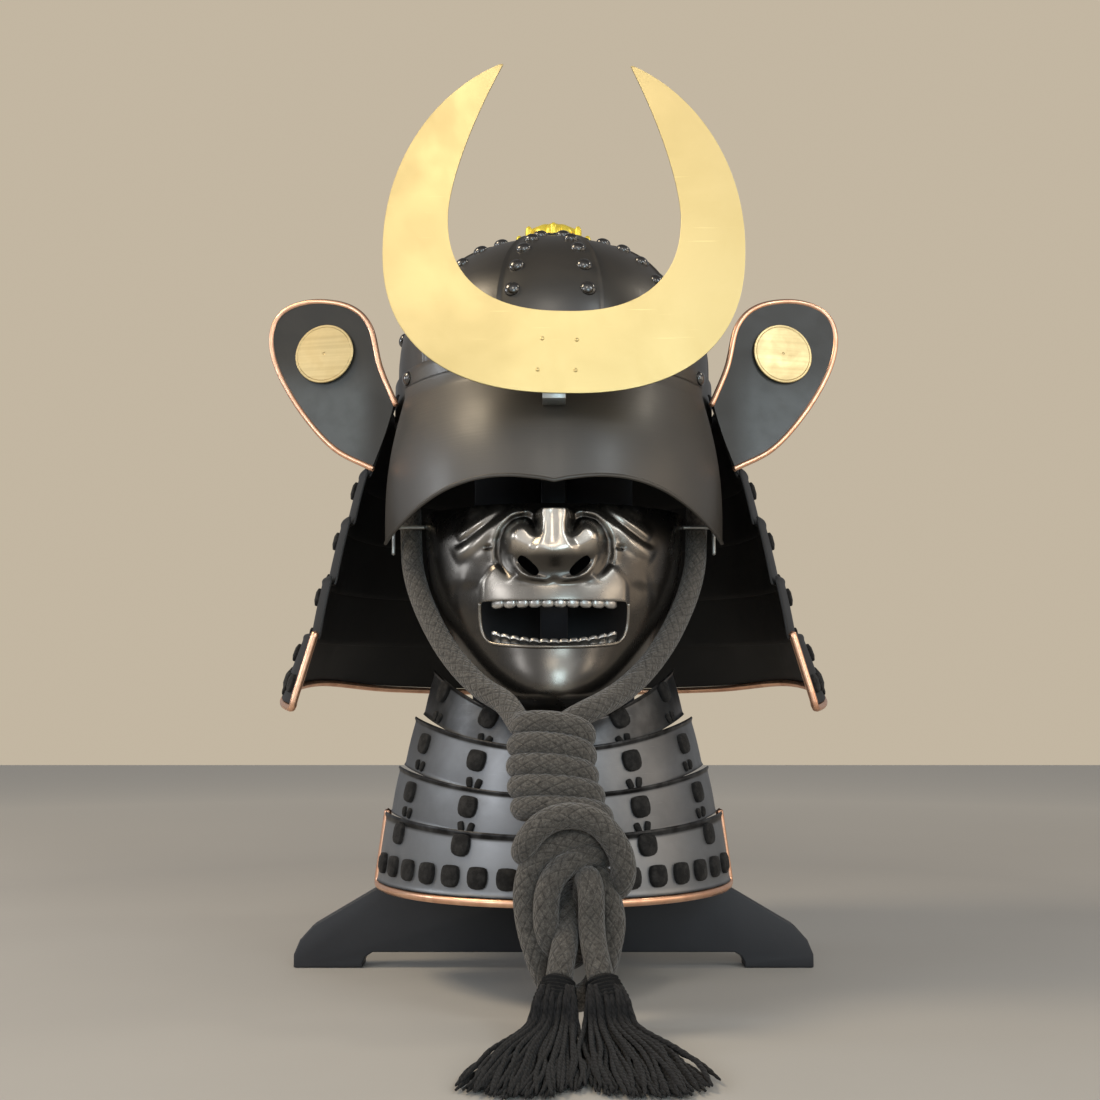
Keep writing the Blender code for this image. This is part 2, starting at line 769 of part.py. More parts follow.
def build_neck_lame(number):
    columns, pads = neck_columns(number)
    rows = (0, 0.48, 0.86, 1) if number == 0 else (0, 0.48, 1)

    def place(azimuth, row):
        return neck_point(number, azimuth if azimuth <= 180 else azimuth - 360, row)

    shape, cells = sheet(columns, rows, place)
    thicken(shape, NECK_WALL)
    raise_pads(shape, [cells[column, 1] for column in pads])
    mesh_object(f"neck_lame_{number + 1}", shape, LAME_BLACK)


def build_neck_rim():
    """Copper bar round the bottom lame's front ends and lower edge."""
    number = len(NECK_LEVELS) - 1
    below = NECK_RIM_RADIUS + 2 * GAP
    ahead = math.degrees(below / NECK_LEVELS[number][1][0])
    end = NECK_FRONT_AZIMUTH - ahead

    def edge(azimuth, row, drop=0.0):
        point = neck_point(number, azimuth, row)
        inward = Vector((point.x, point.y, 0)).normalized() * NECK_WALL / 2
        return point - inward - Vector((0, 0, drop))

    columns, _ = neck_columns(number)
    front = [edge(end, 1.0), edge(end, 0.5), edge(end, 0.05), edge(end, 0.0, below)]
    run = [edge(azimuth, 0.0, below) for azimuth in columns if NECK_FRONT_AZIMUTH < azimuth <= 180]
    half = front + run
    other = [Vector((-point.x, point.y, point.z)) for point in reversed(half[:-1])]
    tube("neck_guard_rim", half + other, NECK_RIM_RADIUS, COPPER)


# ---------------------------------------------------------------- throat guard

def throat_point(number, azimuth, row):
    """Outer face of a throat lame: row 0 its lower edge, 1 its upper edge."""
    top, bottom = THROAT_LEVELS[number]
    half_width, half_depth, z, rise = blend(bottom, top, row)
    z += rise * math.sin(math.radians(azimuth)) ** 2
    return round_the_head(half_width, half_depth, azimuth, z, THROAT_MIDDLE_Y)


def throat_columns(number):
    """Azimuths across a lame and the pads' columns: close-set on the bottom lame."""
    end = THROAT_END_AZIMUTH
    width = THROAT_LEVELS[number][0][1]
    if number < len(THROAT_LEVELS) - 1:
        return pad_edges(THROAT_PAD_AZIMUTHS, width, -end, end, 2)
    reach = THROAT_HEM_SPACING * (THROAT_HEM_COUNT - 1) / 2
    azimuths = evenly(-reach, reach, THROAT_HEM_COUNT - 1)
    return pad_edges(azimuths, width, -end, end, 1)


def build_throat_lame(number):
    def place(azimuth, row):
        return throat_point(number, azimuth, row)

    columns, pads = throat_columns(number)
    hem = number == len(THROAT_LEVELS) - 1
    rows = (0, 0.14, 0.47, 1) if hem else (0, 0.36, 0.80, 1)
    shape, cells = sheet(columns, rows, place)
    thicken(shape, THROAT_WALL)
    raise_pads(shape, [cells[column, 1] for column in pads])
    mesh_object(f"throat_lame_{number + 1}", shape, LAME_GREY)


def build_throat_rim():
    """Copper bar round the bottom lame's ends and lower edge."""
    below = THROAT_RIM_RADIUS + GAP
    end = THROAT_END_AZIMUTH + math.degrees(below / THROAT_LEVELS[3][1][0])

    def edge(azimuth, row, drop=0.0):
        point = throat_point(3, azimuth, row)
        inward = Vector((point.x, point.y, 0)).normalized() * THROAT_WALL / 2
        return point - inward - Vector((0, 0, drop))

    left = [edge(-end, 1.0), edge(-end, 0.5), edge(-end, 0.05), edge(-end, 0.0, below)]
    run = [edge(azimuth, 0.0, below) for azimuth in throat_columns(3)[0][1:-1:2]]
    right = [Vector((-point.x, point.y, point.z)) for point in reversed(left)]
    tube("throat_guard_rim", left + run + right, THROAT_RIM_RADIUS, COPPER)


# ---------------------------------------------------------------- face mask

def bump(distance):
    """Smooth hill: 1 at the middle and 0 from a distance of 1."""
    return (1 - distance * distance) ** 2 if distance < 1 else 0.0


def mask_relief(x, z):
    rise = 0.0
    for middle_x, middle_z, half_width, half_height, height in MASK_FEATURES:
        off_x = (abs(x) - middle_x) / (1.6 * half_width)
        off_z = (z - middle_z) / (1.6 * half_height)
        rise += height * bump(math.hypot(off_x, off_z))
    return rise


def mask_point(share, z):
    """Outer face of the mask: share -1 to 1 from ear to ear."""
    half_width, front_y, rear_y = read_table(MASK_SECTIONS, z)
    angle = math.pi / 2 * share
    x = half_width * math.sin(angle)
    depth = (rear_y - front_y) * math.cos(angle) ** 0.85
    y = rear_y - depth - mask_relief(x, z)
    return Vector((x, y, z))


def mouth_cutter():
    """Prism of the open mouth: straight above, rounded into its corners below."""
    shape = bmesh.new()
    middle = (MOUTH_HIGH_Z + MOUTH_LOW_Z) / 2
    half_height = (MOUTH_HIGH_Z - MOUTH_LOW_Z) / 2
    count = 20
    ring = []
    for index in range(count):
        angle = 2 * math.pi * (index + 0.5) / count
        across = math.copysign(abs(math.cos(angle)) ** 0.30, math.cos(angle))
        up = math.copysign(abs(math.sin(angle)) ** 0.55, math.sin(angle))
        ring.append(shape.verts.new((MOUTH_HALF_WIDTH * across, -0.170, middle + half_height * up)))
    face = shape.faces.new(ring)
    back = bmesh.ops.extrude_face_region(shape, geom=[face])["geom"]
    corners = [item for item in back if isinstance(item, bmesh.types.BMVert)]
    bmesh.ops.translate(shape, verts=corners, vec=(0, 0.085, 0))
    bmesh.ops.recalc_face_normals(shape, faces=shape.faces)
    return shape


def nostril_cutter():
    """Two slanting slots, one under each side of the nose."""
    shape = bmesh.new()
    for side in (-1, 1):
        turn = Matrix.Rotation(math.radians(side * 32), 4, "Y")
        size = Matrix.Diagonal((0.013, 0.060, 0.0062, 1))
        place = Matrix.Translation((side * NOSTRIL_X, -0.150, NOSTRIL_Z))
        bmesh.ops.create_cube(shape, size=1.0, matrix=place @ turn @ size)
    return shape


def build_mask():
    heights = [row[0] for row in MASK_SECTIONS]
    shape, _ = sheet(evenly(-1, 1, MASK_COLUMNS), heights, mask_point)
    thicken(shape, MASK_WALL)
    mask = mesh_object("mask_shell", shape, STEEL)
    combine(mask, mouth_cutter(), "mouth_cutter", "DIFFERENCE")
    combine(mask, nostril_cutter(), "nostril_cutter", "DIFFERENCE")


def teeth_point(x, z, inset):
    """Point on a level behind the mask's face."""
    half_width, front_y, rear_y = read_table(MASK_SECTIONS, z)
    depth = (rear_y - front_y) * math.cos(math.asin(x / half_width)) ** 0.85
    return Vector((x, rear_y - depth + inset, z))


def build_teeth(name, edge_z, root_z, scallop, sag):
    """Strip of teeth: its free edge is scalloped, and its root is behind the lip."""
    inset = MASK_WALL + GAP + 0.0004

    def place(x, row):
        tooth = (x / TEETH_HALF_WIDTH + 1) / 2 * TOOTH_COUNT
        notch = scallop * abs(2 * (tooth - math.floor(tooth)) - 1)
        bend = sag * (x / TEETH_HALF_WIDTH) ** 2
        z = edge_z + notch + bend if row == edge_row else root_z + bend
        return teeth_point(x, z, inset)

    edge_row = 0 if edge_z < root_z else 1
    columns = evenly(-TEETH_HALF_WIDTH, TEETH_HALF_WIDTH, 2 * TOOTH_COUNT)
    shape, _ = sheet(columns, (0, 1), place)
    thicken(shape, 0.0018)
    mesh_object(name, shape, STEEL)


def build_hook(side, word):
    """Bar that stands out from the cheek and turns down outside the cord."""
    start = 0.0900 + GAP
    y = -0.0615
    points = [(start, y, HOOK_Z), (start + HOOK_REACH - 0.002, y, HOOK_Z),
              (start + HOOK_REACH, y, HOOK_Z - 0.002), (start + HOOK_REACH, y, HOOK_Z - HOOK_DROP)]
    tube(f"cheek_hook_{word}", [(side * px, py, pz) for px, py, pz in points], HOOK_RADIUS, IRON)


# ---------------------------------------------------------------- cord and tassels

def build_leg(side, word):
    route = [(side * x, y, z) for x, y, z in CORD_LEG_ROUTE]
    line = even_line(route, LEG_STEP)
    tube(f"cord_leg_{word}", line, CORD_RADIUS, CORD_GREY, 2)
    cap = bmesh.new()
    away = (line[0] - line[1]).normalized()
    turn = away.to_track_quat("Z", "Y").to_matrix().to_4x4()
    middle = line[0] + away * (GAP + ANCHOR_LENGTH / 2)
    bmesh.ops.create_cone(cap, cap_ends=True, segments=10, radius1=CORD_RADIUS + 0.0015,
                          radius2=ANCHOR_TOP_RADIUS, depth=ANCHOR_LENGTH,
                          matrix=Matrix.Translation(middle) @ turn)
    mesh_object(f"cord_anchor_{word}", cap, IRON)


def lofted(name, rings, material, sides=12):
    """Solid through level ovals, closed at both ends."""
    shape = bmesh.new()
    loops = []
    for middle_x, middle_y, z, half_width, half_depth in rings:
        loop = []
        for index in range(sides):
            offset = round_the_head(half_width, half_depth, 360 * index / sides, z)
            loop.append(shape.verts.new(offset + Vector((middle_x, middle_y, 0))))
        loops.append(loop)
    skin(shape, loops)
    return mesh_object(name, shape, material)


def build_cord():
    for side, word in ((-1, "left"), (1, "right")):
        build_leg(side, word)
    lofted("cord_wrap", KNOT_RINGS, CORD_GREY)
    tube("cord_loop_outer", even_line(OUTER_LOOP_ROUTE, LOOP_STEP), CORD_RADIUS, CORD_GREY, 2)
    tube("cord_loop_inner", even_line(INNER_LOOP_ROUTE, LOOP_STEP), CORD_RADIUS, CORD_GREY, 2)
    for word, route in TAIL_ROUTES.items():
        tube(f"cord_tail_{word}", even_line(route, TAIL_STEP), CORD_RADIUS, CORD_GREY, 2)


def lock_shape(points, radius):
    """Closed tapering lock of strands along the points, as a bmesh."""
    shape = bmesh.new()
    sides = 5
    loops = []
    for index, point in enumerate(points):
        ahead = points[min(index + 1, len(points) - 1)]
        behind = points[max(index - 1, 0)]
        turn = (ahead - behind).to_track_quat("Z", "Y").to_matrix()
        loop = []
        for corner in range(sides):
            angle = 2 * math.pi * corner / sides
            offset = turn @ Vector((math.cos(angle), math.sin(angle), 0)) * radius[index]
            spot = point + offset
            spot.z = max(spot.z, GAP)
            loop.append(shape.verts.new(spot))
        loops.append(loop)
    skin(shape, loops)
    return shape


def build_tassel(side, word):
    """Head at the cord's end with locks that fall to the table and fan out over it."""
    tail = even_line(TAIL_ROUTES[word], TAIL_STEP)
    end = tail[-1]
    down = (end - tail[-2]).normalized()
    top = end + down * GAP
    root = top + down * 0.012
    head = [top, top + down * 0.004, root]
    shape = lock_shape(head, (CORD_RADIUS, CORD_RADIUS + 0.004, CORD_RADIUS + 0.004))
    tassel = mesh_object(f"tassel_{word}", shape, TASSEL_GREY)
    for index in range(TASSEL_LOCKS):
        fan = (index + 0.5) / TASSEL_LOCKS * 2 - 1
        lean = side * 0.012
        reach = TASSEL_REACH_Y * (1 - 0.16 * fan * fan)
        start = root - down * 0.002 + Vector((fan * 0.006, 0, 0))
        knee = Vector((end.x + lean * 0.4 + fan * 0.014, end.y - 0.020, 0.0074))
        middle = Vector((end.x + lean + fan * 0.022, end.y - 0.055, 0.0068))
        tip = Vector((end.x + lean * 1.6 + fan * TASSEL_SPREAD, end.y - reach, 0.0040))
        radii = (0.006, TASSEL_LOCK_RADIUS, TASSEL_LOCK_RADIUS, 0.004)
        lock = lock_shape([start, knee, middle, tip], radii)
        combine(tassel, lock, f"lock_{word}_{index + 1}", "UNION")


# ---------------------------------------------------------------- stand

def foot_side(end):
    """Half of a board's lower outline, from the arch's middle out and up to the upright."""
    inner = end - FOOT_LENGTH
    arch = [(0.0, ARCH_HEIGHT), (inner - 0.007, ARCH_HEIGHT), (inner - 0.002, ARCH_HEIGHT - 0.003),
            (inner, 0.0035), (inner, 0.0)]
    rise = [(end - back, height) for back, height in FOOT_PROFILE]
    return arch + [point for point in rise if point[0] > UPRIGHT_HALF + 0.015]


def crown_side(half_span, count):
    """Half of a board's top, from the upright's side to the middle, just under the bowl."""
    height = DOME_HEIGHT - BOWL_WALL - CROWN_CLEARANCE
    line = []
    for x in evenly(UPRIGHT_HALF, 0.0, count):
        line.append((x, DOME_BASE_Z + height * math.sqrt(1 - (x / half_span) ** 2)))
    return line


def build_cross_board():
    """Board across the stand, slotted from the top."""
    half_span = BOWL_HALF_WIDTH - BOWL_WALL - CROWN_CLEARANCE
    right = foot_side(CROSS_FOOT_END)
    right += [(UPRIGHT_HALF + 0.006, 0.100), (UPRIGHT_HALF, 0.116)]
    crown = [point for point in crown_side(half_span, 8) if point[0] > SLOT / 2]
    slot_top = crown[-1][1]
    right += crown + [(SLOT / 2, slot_top), (SLOT / 2, SLOT_MEET_Z)]
    left = [(-x, z) for x, z in reversed(right[1:])]
    flat_plate("stand_cross_board", right + left, BOARD, upright(), BOARD_BLACK)


def build_fore_board():
    """Board from front to back, slotted from below, with a tongue behind the mask."""
    half_span = BOWL_HALF_DEPTH - BOWL_WALL - CROWN_CLEARANCE
    side = foot_side(FORE_FOOT_END)[1:]
    side += [(UPRIGHT_HALF + 0.006, 0.100), (UPRIGHT_HALF, 0.116)]
    crown = crown_side(half_span, 8)
    rear = [(SLOT / 2, ARCH_HEIGHT)] + side + crown
    front_low = [(-y, z) for y, z in [(SLOT / 2, ARCH_HEIGHT)] + side]
    front = front_low + list(MASK_PROP) + [(-y, z) for y, z in crown[:-1]]
    slot = [(-SLOT / 2, SLOT_MEET_Z + GAP), (SLOT / 2, SLOT_MEET_Z + GAP)]
    outline = rear + list(reversed(front)) + slot
    side_on = Matrix(((0, 0, 1, 0), (1, 0, 0, 0), (0, 1, 0, 0), (0, 0, 0, 1)))
    flat_plate("stand_fore_board", outline, BOARD, side_on, BOARD_BLACK)


# ---------------------------------------------------------------- build

clear_scene()
PIECES = new_collection("kabuto_helmet_on_stand")
CUTTERS = new_collection("cutters")
MIDDLE = bpy.data.objects.new("object_middle", None)
MIDDLE.location = (0, HELMET_MIDDLE_Y, 0)
PIECES.objects.link(MIDDLE)

LACQUER = new_material("black_lacquer", (0.030, 0.027, 0.024), 0.38)
STEEL = new_material("burnished_steel", (0.060, 0.058, 0.056), 0.26, 0.9)
IRON = new_material("grey_iron", (0.250, 0.250, 0.250), 0.40, 0.9)
BRASS = new_material("pale_brass", (0.800, 0.620, 0.270), 0.34, 1.0)
GILT = new_material("gilt", (0.850, 0.600, 0.120), 0.28, 1.0)
COPPER = new_material("copper", (0.780, 0.400, 0.260), 0.28, 1.0)
WING_BLACK = new_material("wing_black", (0.025, 0.030, 0.036), 0.42)
LAME_BLACK = new_material("lame_black", (0.022, 0.022, 0.024), 0.50)
LAME_GREY = new_material("lame_grey", (0.060, 0.064, 0.074), 0.36, 0.6)
CORD_GREY = new_material("cord_grey", (0.070, 0.064, 0.056), 0.90)
TASSEL_GREY = new_material("tassel_grey", (0.035, 0.034, 0.036), 0.92)
BOARD_BLACK = new_material("board_black", (0.016, 0.018, 0.024), 0.55)

build_bowl()
BAND_OUT = build_waist_band()
build_brim()
build_crest()
build_top_ornament()
for wing_side, side_word in ((-1, "left"), (1, "right")):
    build_wing(wing_side, side_word)
    build_hook(wing_side, side_word)
    build_tassel(wing_side, side_word)
for lame in range(len(NECK_LEVELS)):
    build_neck_lame(lame)
build_neck_rim()
for lame in range(len(THROAT_LEVELS)):
    build_throat_lame(lame)
build_throat_rim()
build_mask()
build_teeth("upper_teeth", 0.2415, 0.2520, 0.0016, 0.0)
build_teeth("lower_teeth", 0.2250, 0.2170, -0.0012, 0.006)
build_cord()
build_cross_board()
build_fore_board()
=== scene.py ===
"""Kabuto helmet with face mask, throat guard and tied chin cord, on its board stand.

Metres, +Z up, and the helmet faces -Y. Shapes are drawn about the helmet's own middle,
with azimuths in degrees from its front, positive towards +X, and are moved into the
object's frame when they are dressed.
"""

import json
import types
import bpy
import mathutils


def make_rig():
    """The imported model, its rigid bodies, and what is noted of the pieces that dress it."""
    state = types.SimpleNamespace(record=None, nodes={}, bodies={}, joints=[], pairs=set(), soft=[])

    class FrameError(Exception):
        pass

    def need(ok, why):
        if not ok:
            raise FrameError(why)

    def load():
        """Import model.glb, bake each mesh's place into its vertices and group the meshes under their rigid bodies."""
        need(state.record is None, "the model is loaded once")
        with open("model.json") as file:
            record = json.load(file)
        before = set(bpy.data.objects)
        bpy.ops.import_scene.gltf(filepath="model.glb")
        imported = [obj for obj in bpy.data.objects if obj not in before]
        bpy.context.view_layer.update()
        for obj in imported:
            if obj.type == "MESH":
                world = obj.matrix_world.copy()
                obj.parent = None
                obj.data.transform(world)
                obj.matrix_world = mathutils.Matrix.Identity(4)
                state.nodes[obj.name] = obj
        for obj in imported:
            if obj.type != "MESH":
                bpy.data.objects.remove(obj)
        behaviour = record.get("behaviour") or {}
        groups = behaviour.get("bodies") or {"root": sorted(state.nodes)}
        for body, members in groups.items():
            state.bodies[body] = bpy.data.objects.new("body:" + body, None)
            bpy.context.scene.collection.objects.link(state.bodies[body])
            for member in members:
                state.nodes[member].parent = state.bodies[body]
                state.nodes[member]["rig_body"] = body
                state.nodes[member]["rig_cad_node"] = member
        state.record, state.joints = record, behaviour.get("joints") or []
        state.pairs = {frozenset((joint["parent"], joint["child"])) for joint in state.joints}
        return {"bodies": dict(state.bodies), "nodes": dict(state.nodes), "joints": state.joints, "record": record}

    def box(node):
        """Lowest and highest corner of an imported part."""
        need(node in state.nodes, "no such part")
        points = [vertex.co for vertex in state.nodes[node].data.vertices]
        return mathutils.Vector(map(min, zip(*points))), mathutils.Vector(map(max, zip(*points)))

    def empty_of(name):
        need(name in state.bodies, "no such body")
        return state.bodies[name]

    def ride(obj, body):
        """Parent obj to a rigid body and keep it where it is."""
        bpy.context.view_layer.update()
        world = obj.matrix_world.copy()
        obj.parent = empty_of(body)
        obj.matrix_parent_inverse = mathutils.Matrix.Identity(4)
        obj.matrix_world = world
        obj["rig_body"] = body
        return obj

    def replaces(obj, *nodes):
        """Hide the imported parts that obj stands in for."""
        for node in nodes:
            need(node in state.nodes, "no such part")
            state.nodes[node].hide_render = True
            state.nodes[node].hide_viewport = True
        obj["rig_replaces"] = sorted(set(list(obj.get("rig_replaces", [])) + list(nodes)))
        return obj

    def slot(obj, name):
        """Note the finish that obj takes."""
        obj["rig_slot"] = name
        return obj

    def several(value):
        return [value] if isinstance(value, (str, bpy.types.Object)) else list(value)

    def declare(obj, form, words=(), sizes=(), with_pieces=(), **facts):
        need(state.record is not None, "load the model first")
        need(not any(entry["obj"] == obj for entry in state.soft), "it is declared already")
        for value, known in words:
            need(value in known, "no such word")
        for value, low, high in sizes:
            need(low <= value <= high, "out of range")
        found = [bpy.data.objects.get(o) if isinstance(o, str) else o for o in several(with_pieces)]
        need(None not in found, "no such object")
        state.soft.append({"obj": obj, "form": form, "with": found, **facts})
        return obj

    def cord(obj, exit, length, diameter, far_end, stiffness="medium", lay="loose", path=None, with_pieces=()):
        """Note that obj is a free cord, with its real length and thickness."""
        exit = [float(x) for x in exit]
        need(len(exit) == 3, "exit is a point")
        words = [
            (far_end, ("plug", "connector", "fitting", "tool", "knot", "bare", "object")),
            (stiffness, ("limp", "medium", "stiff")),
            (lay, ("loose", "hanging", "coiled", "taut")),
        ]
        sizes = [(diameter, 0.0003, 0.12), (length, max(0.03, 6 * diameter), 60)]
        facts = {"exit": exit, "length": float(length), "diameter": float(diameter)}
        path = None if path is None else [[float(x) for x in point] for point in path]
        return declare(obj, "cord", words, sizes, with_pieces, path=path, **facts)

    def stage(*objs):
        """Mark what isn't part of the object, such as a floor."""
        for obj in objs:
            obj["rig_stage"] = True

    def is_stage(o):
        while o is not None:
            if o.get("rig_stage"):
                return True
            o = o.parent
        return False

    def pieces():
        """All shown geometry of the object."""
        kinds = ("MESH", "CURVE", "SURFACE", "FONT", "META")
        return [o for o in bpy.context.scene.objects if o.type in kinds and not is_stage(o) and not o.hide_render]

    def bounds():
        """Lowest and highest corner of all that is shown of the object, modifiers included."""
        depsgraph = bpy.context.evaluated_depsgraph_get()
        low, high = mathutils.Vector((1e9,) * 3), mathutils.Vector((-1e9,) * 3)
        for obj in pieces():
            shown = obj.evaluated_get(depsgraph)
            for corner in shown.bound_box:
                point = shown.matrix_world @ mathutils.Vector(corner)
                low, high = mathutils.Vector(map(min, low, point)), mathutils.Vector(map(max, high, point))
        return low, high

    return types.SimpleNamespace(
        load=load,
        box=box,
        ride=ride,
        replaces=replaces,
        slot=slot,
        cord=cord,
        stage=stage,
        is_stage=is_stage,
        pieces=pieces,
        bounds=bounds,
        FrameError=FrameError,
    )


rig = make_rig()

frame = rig.load()
CAD_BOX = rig.bounds()

import json
import logging
import math
import random
from contextlib import contextmanager
from dataclasses import dataclass, field
from enum import Enum
from functools import partial
from itertools import accumulate
from typing import Callable, Iterable, Iterator, Sequence

import bpy
import numpy as np
from mathutils import Matrix, Vector

LOG = logging.getLogger("kabuto")
Object = bpy.types.Object
Material = bpy.types.Material
Socket = bpy.types.NodeSocket
Colour = tuple[float, float, float]
Place = Callable[[float, float], Vector]
Point = tuple[float, float, float]
Pair = tuple[float, float]
Table = tuple[tuple[float, ...], ...]

MERGE_DISTANCE = 2e-6
MILLIMETRES = 1000  # in a metre
SECOND_TONE = "second_tone"
FULL_TURN = 2 * math.pi
QUARTER_TURN = math.pi / 2
END_BULGE = 0.6  # of a round bar's radius
LACING_STEP = (1, 0.05)  # degrees and share of a lame, to feel its face by


def metres(*values: object) -> tuple:
    """Sizes in metres, from rows or rows of rows of millimetres."""
    return tuple(metres(*value) if isinstance(value, tuple) else value / MILLIMETRES
                 for value in values)


class Slot(Enum):
    """Material slots of the record that the pieces take their finishes from."""

    LACQUER = "black_lacquer"
    STEEL = "burnished_steel"
    IRON = "grey_iron"
    BRASS = "pale_brass"
    GILT = "gilt"
    COPPER = "copper"
    WING = "wing_black"
    NECK = "lame_black"
    THROAT = "lame_grey"
    CORD = "cord_grey"
    TASSEL = "tassel_grey"
    BOARD = "board_black"


class Side(Enum):
    """The two sides of the helmet, as the sign of X."""

    LEFT = -1
    RIGHT = 1

    @property
    def word(self) -> str:
        """The side's name in piece names."""
        return self.name.lower()


def helmet_middle() -> Vector:
    """Place of the helmet's own middle in the object's frame."""
    low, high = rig.box("stand_cross_board")
    return Vector((0.0, (low.y + high.y) / 2, 0.0))


# ---- modelling by hand

def deselect() -> None:
    """Leave edit mode and select nothing."""
    if bpy.context.object is not None and bpy.context.object.mode != "OBJECT":
        bpy.ops.object.mode_set(mode="OBJECT")
    bpy.ops.object.select_all(action="DESELECT")


def pick(obj: Object) -> None:
    """Select one object alone and make it active.

    Args:
        obj: the object.
    """
    deselect()
    obj.select_set(True)
    bpy.context.view_layer.objects.active = obj


def named(name: str) -> Object:
    """Name the object that was just added, and its mesh.

    Args:
        name: the name.

    Returns:
        The object.
    """
    obj = bpy.context.object
    obj.name = name
    obj.data.name = name
    return obj


def shaped_grid(name: str, columns: Sequence[float], rows: Sequence[float], place: Place) -> Object:
    """Add a grid and lay it over a surface.

    Args:
        name: name of the piece.
        columns: values across, which run towards +X at the front.
        rows: values up.
        place: surface point for a column and a row value.

    Returns:
        The open sheet, with its front outward.
    """
    deselect()
    across, up = len(columns) - 1, len(rows) - 1
    bpy.ops.mesh.primitive_grid_add(x_subdivisions=across, y_subdivisions=up, size=2)
    obj = named(name)
    for corner in obj.data.vertices:
        column = round((corner.co.x + 1) / 2 * across)
        row = round((corner.co.y + 1) / 2 * up)
        corner.co = place(columns[column], rows[row])
    return obj


@contextmanager
def editing(obj: Object, select: str = "SELECT") -> Iterator[None]:
    """Hold one object in edit mode for as long as the block lasts.

    Args:
        obj: the object.
        select: SELECT to start with all of its mesh, DESELECT with none.
    """
    pick(obj)
    bpy.ops.object.mode_set(mode="EDIT")
    bpy.ops.mesh.select_all(action=select)
    yield
    bpy.ops.object.mode_set(mode="OBJECT")


def close_up(obj: Object, outward: bool = True) -> Object:
    """Merge the doubles of a piece.

    Args:
        obj: the piece.
        outward: whether its faces are turned outward as well.

    Returns:
        The piece.
    """
    with editing(obj):
        bpy.ops.mesh.remove_doubles(threshold=MERGE_DISTANCE)
        if outward:
            bpy.ops.mesh.normals_make_consistent(inside=False)
    return obj


def modify(obj: Object, kind: str, **settings: object) -> Object:
    """Add a modifier and apply it.

    Args:
        obj: the piece.
        kind: the modifier's type.
        settings: its settings.

    Returns:
        The piece.
    """
    modifier = obj.modifiers.new(kind.lower(), kind)
    for key, value in settings.items():
        setattr(modifier, key, value)
    pick(obj)
    bpy.ops.object.modifier_apply(modifier=modifier.name)
    return obj


def wall(obj: Object, thickness: float) -> Object:
    """Give an open sheet a wall behind its front."""
    return modify(obj, "SOLIDIFY", thickness=thickness, offset=-1.0)


def soften(obj: Object, width: float, segments: int = 2, degrees: float = 40) -> Object:
    """Round the sharp edges of a piece."""
    return modify(obj, "BEVEL", width=width, segments=segments, limit_method="ANGLE",
                  angle_limit=math.radians(degrees))


def smooth(obj: Object, degrees: float = 40) -> Object:
    """Shade a piece smooth, but for its sharp edges.

    Args:
        obj: the piece.
        degrees: angle above which an edge is sharp.

    Returns:
        The piece.
    """
    pick(obj)
    bpy.ops.object.shade_smooth_by_angle(angle=math.radians(degrees))
    return obj


def join(name: str, pieces: Sequence[Object]) -> Object:
    """Make one piece of several.

    Args:
        name: name of the new piece.
        pieces: what it is made of.

    Returns:
        The new piece.
    """
    deselect()
    for piece in pieces:
        piece.select_set(True)
    bpy.context.view_layer.objects.active = pieces[0]
    bpy.ops.object.join()
    return named(name)


def copies(name: str, master: Object, places: Iterable[Matrix]) -> Object:
    """Copy a master to each place, each with its own mesh, and join the copies.

    Args:
        name: name of the joined piece.
        master: the piece that repeats, which is removed at the end.
        places: where each copy stands.

    Returns:
        The joined piece.
    """
    made = []
    for place in places:
        twin = bpy.data.objects.new(name, master.data.copy())
        twin.data.transform(place)
        if place.determinant() < 0:
            twin.data.flip_normals()
        bpy.context.scene.collection.objects.link(twin)
        made.append(twin)
    bpy.data.objects.remove(master)
    return join(name, made)


def turned(name: str, profile: Table, sides: int) -> Object:
    """Piece turned about Z.

    Args:
        name: name of the piece.
        profile: radius and height of each ring, from the foot up.
        sides: corners in a ring.

    Returns:
        The piece, open where its profile is.
    """
    def place(turn: float, row: float) -> Vector:
        """Corner of a ring."""
        radius, height = profile[int(row)]
        return Vector((radius * math.cos(turn), radius * math.sin(turn), height))

    return close_up(shaped_grid(name, evenly(0, FULL_TURN, sides), range(len(profile)), place))


def frame_at(point: Sequence[float], *axes: Vector) -> Matrix:
    """Frame at a point.

    Args:
        point: its origin.
        axes: its X, Y and Z.

    Returns:
        The frame.
    """
    matrix = Matrix(axes).transposed().to_4x4()
    matrix.translation = point
    return matrix


def frame_along(line: Sequence[Vector]) -> list[Matrix]:
    """Frames that follow a line without twisting.

    Args:
        line: its points.

    Returns:
        A frame at each point, with Z along the line.
    """
    last = len(line) - 1
    along = [(line[min(i + 1, last)] - line[max(i - 1, 0)]).normalized() for i in range(last + 1)]
    side = along[0].orthogonal().normalized()
    frames = []
    for point, ahead in zip(line, along):
        side = (side - ahead * side.dot(ahead)).normalized()
        frames.append(frame_at(point, side, ahead.cross(side), ahead))
    return frames


